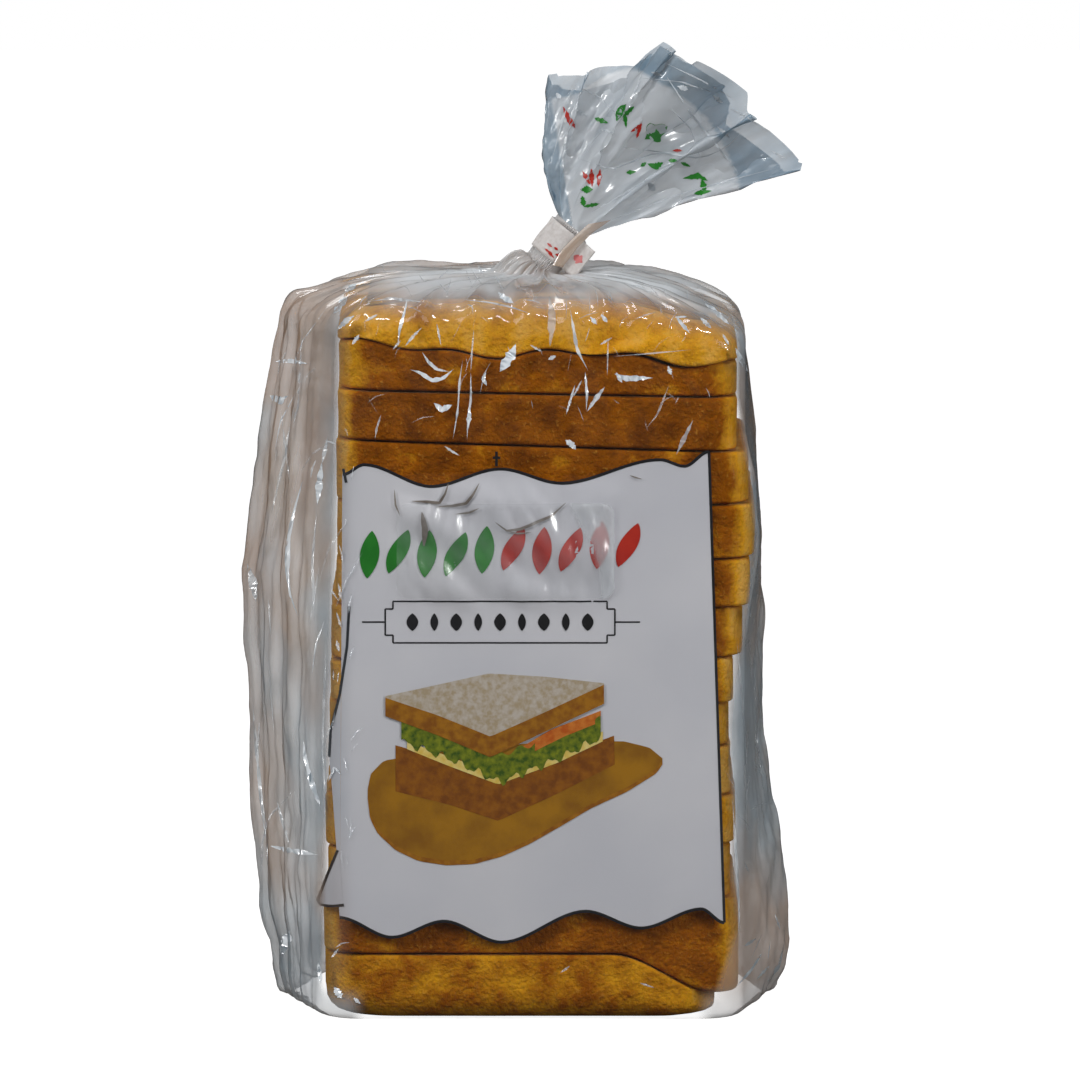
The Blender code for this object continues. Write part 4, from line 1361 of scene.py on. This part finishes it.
def tape_points(u, v):
    """Places on the tape: u along it in mm from the flag's end, v across its width in mm.

    The first and last stretch of u are the flag's two plies, straight out from the
    ring at TAPE_TURN; between them u goes once round the neck.
    """
    across, along = neck_frame(NECK_LEAN)
    centre = NECK_FOOT + along * TAPE_RISE
    round_length = 2 * math.pi * TAPE_RADIUS
    on_ring = (u - FLAG_LENGTH) / round_length
    turn = TAPE_TURN + np.clip(on_ring, 0.0, 1.0) * 2 * math.pi
    out = TAPE_RADIUS + np.maximum(FLAG_LENGTH - u, 0.0) + np.maximum(u - FLAG_LENGTH - round_length, 0.0)
    out = out + 0.12 * np.sin(turn * 9 + v) * (on_ring > 0.03) * (on_ring < 0.97)
    side = np.where(on_ring < 0.5, 0.12, -0.12) * ((on_ring <= 0) | (on_ring >= 1))
    flat_x = out * np.cos(turn) - side * np.sin(TAPE_TURN)
    flat_y = out * np.sin(turn) + side * np.cos(TAPE_TURN)
    point = centre + flat_x[..., None] * across + flat_y[..., None] * np.array([0.0, 1.0, 0.0])
    return point + v[..., None] * along


paper_tape = paper_material()
tape_length = 2 * math.pi * TAPE_RADIUS + 2 * FLAG_LENGTH
along_tape = np.linspace(0.0, tape_length, 150)
across_tape = np.linspace(-TAPE_WIDTH / 2, TAPE_WIDTH / 2, 14)
tape_u, tape_v = np.meshgrid(along_tape, across_tape)
tape = add_piece(
    "neck_tape_wrap", tape_points(tape_u, tape_v), grid_faces(14, 150), paper_tape, "neck_tape"
)
wall = tape.modifiers.new("thickness", "SOLIDIFY")
wall.thickness = 0.00012
wall.offset = 1.0

# Small red figures on the tape's front, a pink band on the flag, and some of the
# gathered film, which passes in front of the tape and looks brownish.
TAPE_MARKS = (
    (0.9, (2.4, 196.3), (3.7, 195.2), (5.0, 193.6)),
    (0.9, (3.1, 197.6), (4.5, 196.5)),
    (0.9, (5.0, 196.5), (6.0, 195.7)),
    (0.9, (5.2, 194.7), (7.1, 194.1)),
)
FLAG_BAND = ((10.1, 194.3), (11.3, 193.4), (12.4, 192.4))
STRIP_LEFT = ((4.5, 192.3), (7.1, 196.5), (10.5, 200.0), (13.9, 203.1))
STRIP_RIGHT = ((7.3, 191.8), (11.0, 196.8), (14.9, 200.7), (19.9, 204.2))
tape_grid = tape_points(tape_u, tape_v)
tape_tree = surface_tree(tape_grid, closed=False)
pink_ink = ink_material("pink_flexo_ink", "#CC5F5F", "#D98080", 3.0)
tape_lines = [(width, 1.0, line) for width, *line in TAPE_MARKS]
add_slivers("tape_marks", tape_tree, tape_lines, 0.25, red_ink, "neck_tape")
add_slivers("flag_band", tape_tree, [(2.6, 1.0, FLAG_BAND)], 0.25, pink_ink, "neck_tape")
left_line, right_line = straight_line(STRIP_LEFT, 30), straight_line(STRIP_RIGHT, 30)
strip_plan = left_line + (right_line - left_line) * np.linspace(0.0, 1.0, 8)[:, None, None]
strip_y = -TAPE_RADIUS - 0.9 + 0.5 * np.linspace(-1.0, 1.0, 8)[:, None] ** 2 + 0.0 * strip_plan[..., 0]
strip = add_piece(
    "neck_film_strip",
    np.dstack([strip_plan[..., 0], strip_y, strip_plan[..., 1]]),
    grid_faces(8, 30),
    film_material("gathered_polypropylene_film", "#A58C76", "#BCA48E", 0.12),
    "bag",
)
paint(strip, "haze", 0.8 + 0.0 * strip_y)
paint(strip, "ink", 0.0 * strip_y)

# %% [markdown]
# The clear label is a small sheet of self-adhesive film. It is stiffer than the bag
# and wrinkles where the bag under it does, and its free corner looks whitest.

# %% Clear label
LABEL_WIDTH, LABEL_HEIGHT, LABEL_CORNER = 56.0, 24.6, 3.0
LABEL_MIDDLE = (-7.6, 122.6)


def label_points():
    """Rows up the label, each row's half-width cut short near the ends by the corner's circle."""
    bend = np.sin(np.linspace(-math.pi / 2, math.pi / 2, 46))
    height = bend * LABEL_HEIGHT / 2
    past = np.clip(abs(height) - (LABEL_HEIGHT / 2 - LABEL_CORNER), 0.0, None)
    half = LABEL_WIDTH / 2 - LABEL_CORNER + np.sqrt(LABEL_CORNER**2 - past**2 + 1e-9)
    x = LABEL_MIDDLE[0] + half[:, None] * np.linspace(-1.0, 1.0, 80)
    z = LABEL_MIDDLE[1] + height[:, None] + 0.0 * x
    return x, z


label_x, label_z = label_points()
label_y = front_depth(label_x, label_z) - 0.18
label_grid = np.dstack([label_x, label_y, label_z])
label_grid[..., 1] -= 0.35 * panels(label_grid, (5.0, 8.0, 11.0), 51)
clear_label = add_piece(
    "clear_label_sheet",
    label_grid,
    grid_faces(*label_x.shape),
    film_material("clear_label_film", "#DDE3E8", "#E3E5E8", 0.16),
    "clear_label",
)
corner_side = np.interp(label_z, (110.0, 117.0, 124.0, 128.0, 134.0), (16.5, 16.0, 14.5, 11.5, 8.5))
free_corner = smooth_step((label_x - corner_side) / 1.4)
paint(clear_label, "haze", 0.04 + 0.10 * fold_wave(label_x / 9.0 + 0.1 * label_z) + 0.42 * free_corner)
paint(clear_label, "ink", 0.0 * label_x)

# %% [markdown]
# ## Floor, light and camera
#
# The pack stands on a pale floor in a white room. A large lamp high on the left gives
# the soft main light, a smaller one fills from the right, and a few narrow ones are
# there for the film to mirror.

# %% Floor
FLOOR_HALF = 3.5
floor_points = np.array(
    [[(side * FLOOR_HALF, y, 0.0) for side in (1, -1)] for y in (-FLOOR_HALF, FLOOR_HALF)]
)
floor_mesh = bpy.data.meshes.new("floor")
floor_mesh.from_pydata(
    floor_points.reshape(-1, 3).tolist(), [], grid_faces(2, 2)[:, ::-1].tolist()
)
floor = bpy.data.objects.new("floor", floor_mesh)
bpy.context.scene.collection.objects.link(floor)
paper_white, tree, output = new_material("studio_floor")
# Seen straight on, the floor is bright and self-lit. What the film mirrors of it is dim,
# as in a studio with black cloth round the lens, so that the film's gloss stays clear.
seen = add_node(tree, "ShaderNodeLightPath").outputs["Is Camera Ray"]
brightness = ramp(tree, seen, [(0.0, 0.15), (1.0, 0.30)])
self_lit = add_node(tree, "ShaderNodeMath", {1: 1.0}, {0: seen}, operation="MULTIPLY")
matt = add_node(
    tree,
    "ShaderNodeBsdfPrincipled",
    {"Roughness": 0.9, "Specular IOR Level": 0.0, "Emission Color": (1.0, 1.0, 1.0, 1.0)},
    {"Base Color": brightness, "Emission Strength": self_lit.outputs[0]},
)
tree.links.new(matt.outputs[0], output.inputs["Surface"])
floor_mesh.materials.append(paper_white)

# %% [markdown]
# The lamps are listed with their place, size and power. The camera looks from the
# viewing place at the pack's middle with a long lens.

# %% Lamps and camera
def add_lamp(name, place, width, height, power, target=pack_middle):
    """A white rectangular lamp that faces its target."""
    data = bpy.data.lights.new(name, "AREA")
    data.shape = "RECTANGLE"
    data.size = width
    data.size_y = height
    data.energy = power
    lamp = bpy.data.objects.new(name, data)
    lamp.location = place
    facing = Vector(target) - Vector(place)
    lamp.rotation_euler = facing.to_track_quat("-Z", "Y").to_euler()
    bpy.context.scene.collection.objects.link(lamp)
    return lamp


add_lamp("main_softbox", (-1.1, -1.3, 1.5), 0.9, 0.9, 7.5)
add_lamp("right_fill", (1.4, -1.2, 0.7), 0.8, 0.8, 3.6)
add_lamp("top_strip", (-0.25, 0.25, 0.95), 0.5, 0.12, 2.0)
add_lamp("glint_left", (-0.75, -0.55, 0.55), 0.06, 0.30, 2.2)
add_lamp("glint_right", (0.70, -0.60, 0.35), 0.05, 0.30, 1.8)
add_lamp("glint_high", (0.15, -0.60, 0.95), 0.30, 0.06, 2.2)

world = bpy.data.worlds.new("studio")
bpy.context.scene.world = world
world.use_nodes = True
tree = world.node_tree
seen = add_node(tree, "ShaderNodeLightPath").outputs["Is Camera Ray"]
strength = ramp(tree, seen, [(0.0, 0.13), (1.0, 1.0)])
tree.nodes["Background"].inputs["Color"].default_value = (1.0, 1.0, 1.0, 1.0)
tree.links.new(strength, tree.nodes["Background"].inputs["Strength"])

PICTURE_WIDTH = 0.283
camera_data = bpy.data.cameras.new("camera")
camera = bpy.data.objects.new("camera", camera_data)
bpy.context.scene.collection.objects.link(camera)
bpy.context.scene.camera = camera
camera.location = pack_middle + back_off
camera.rotation_euler = (math.pi / 2 - VIEW_RISE, 0.0, 0.0)
camera_data.sensor_width = 36.0
camera_data.lens = 36.0 * VIEW_DISTANCE / PICTURE_WIDTH

scene = bpy.context.scene
scene.view_settings.view_transform = "Standard"
scene.cycles.transparent_max_bounces = 32
scene.cycles.max_bounces = 10
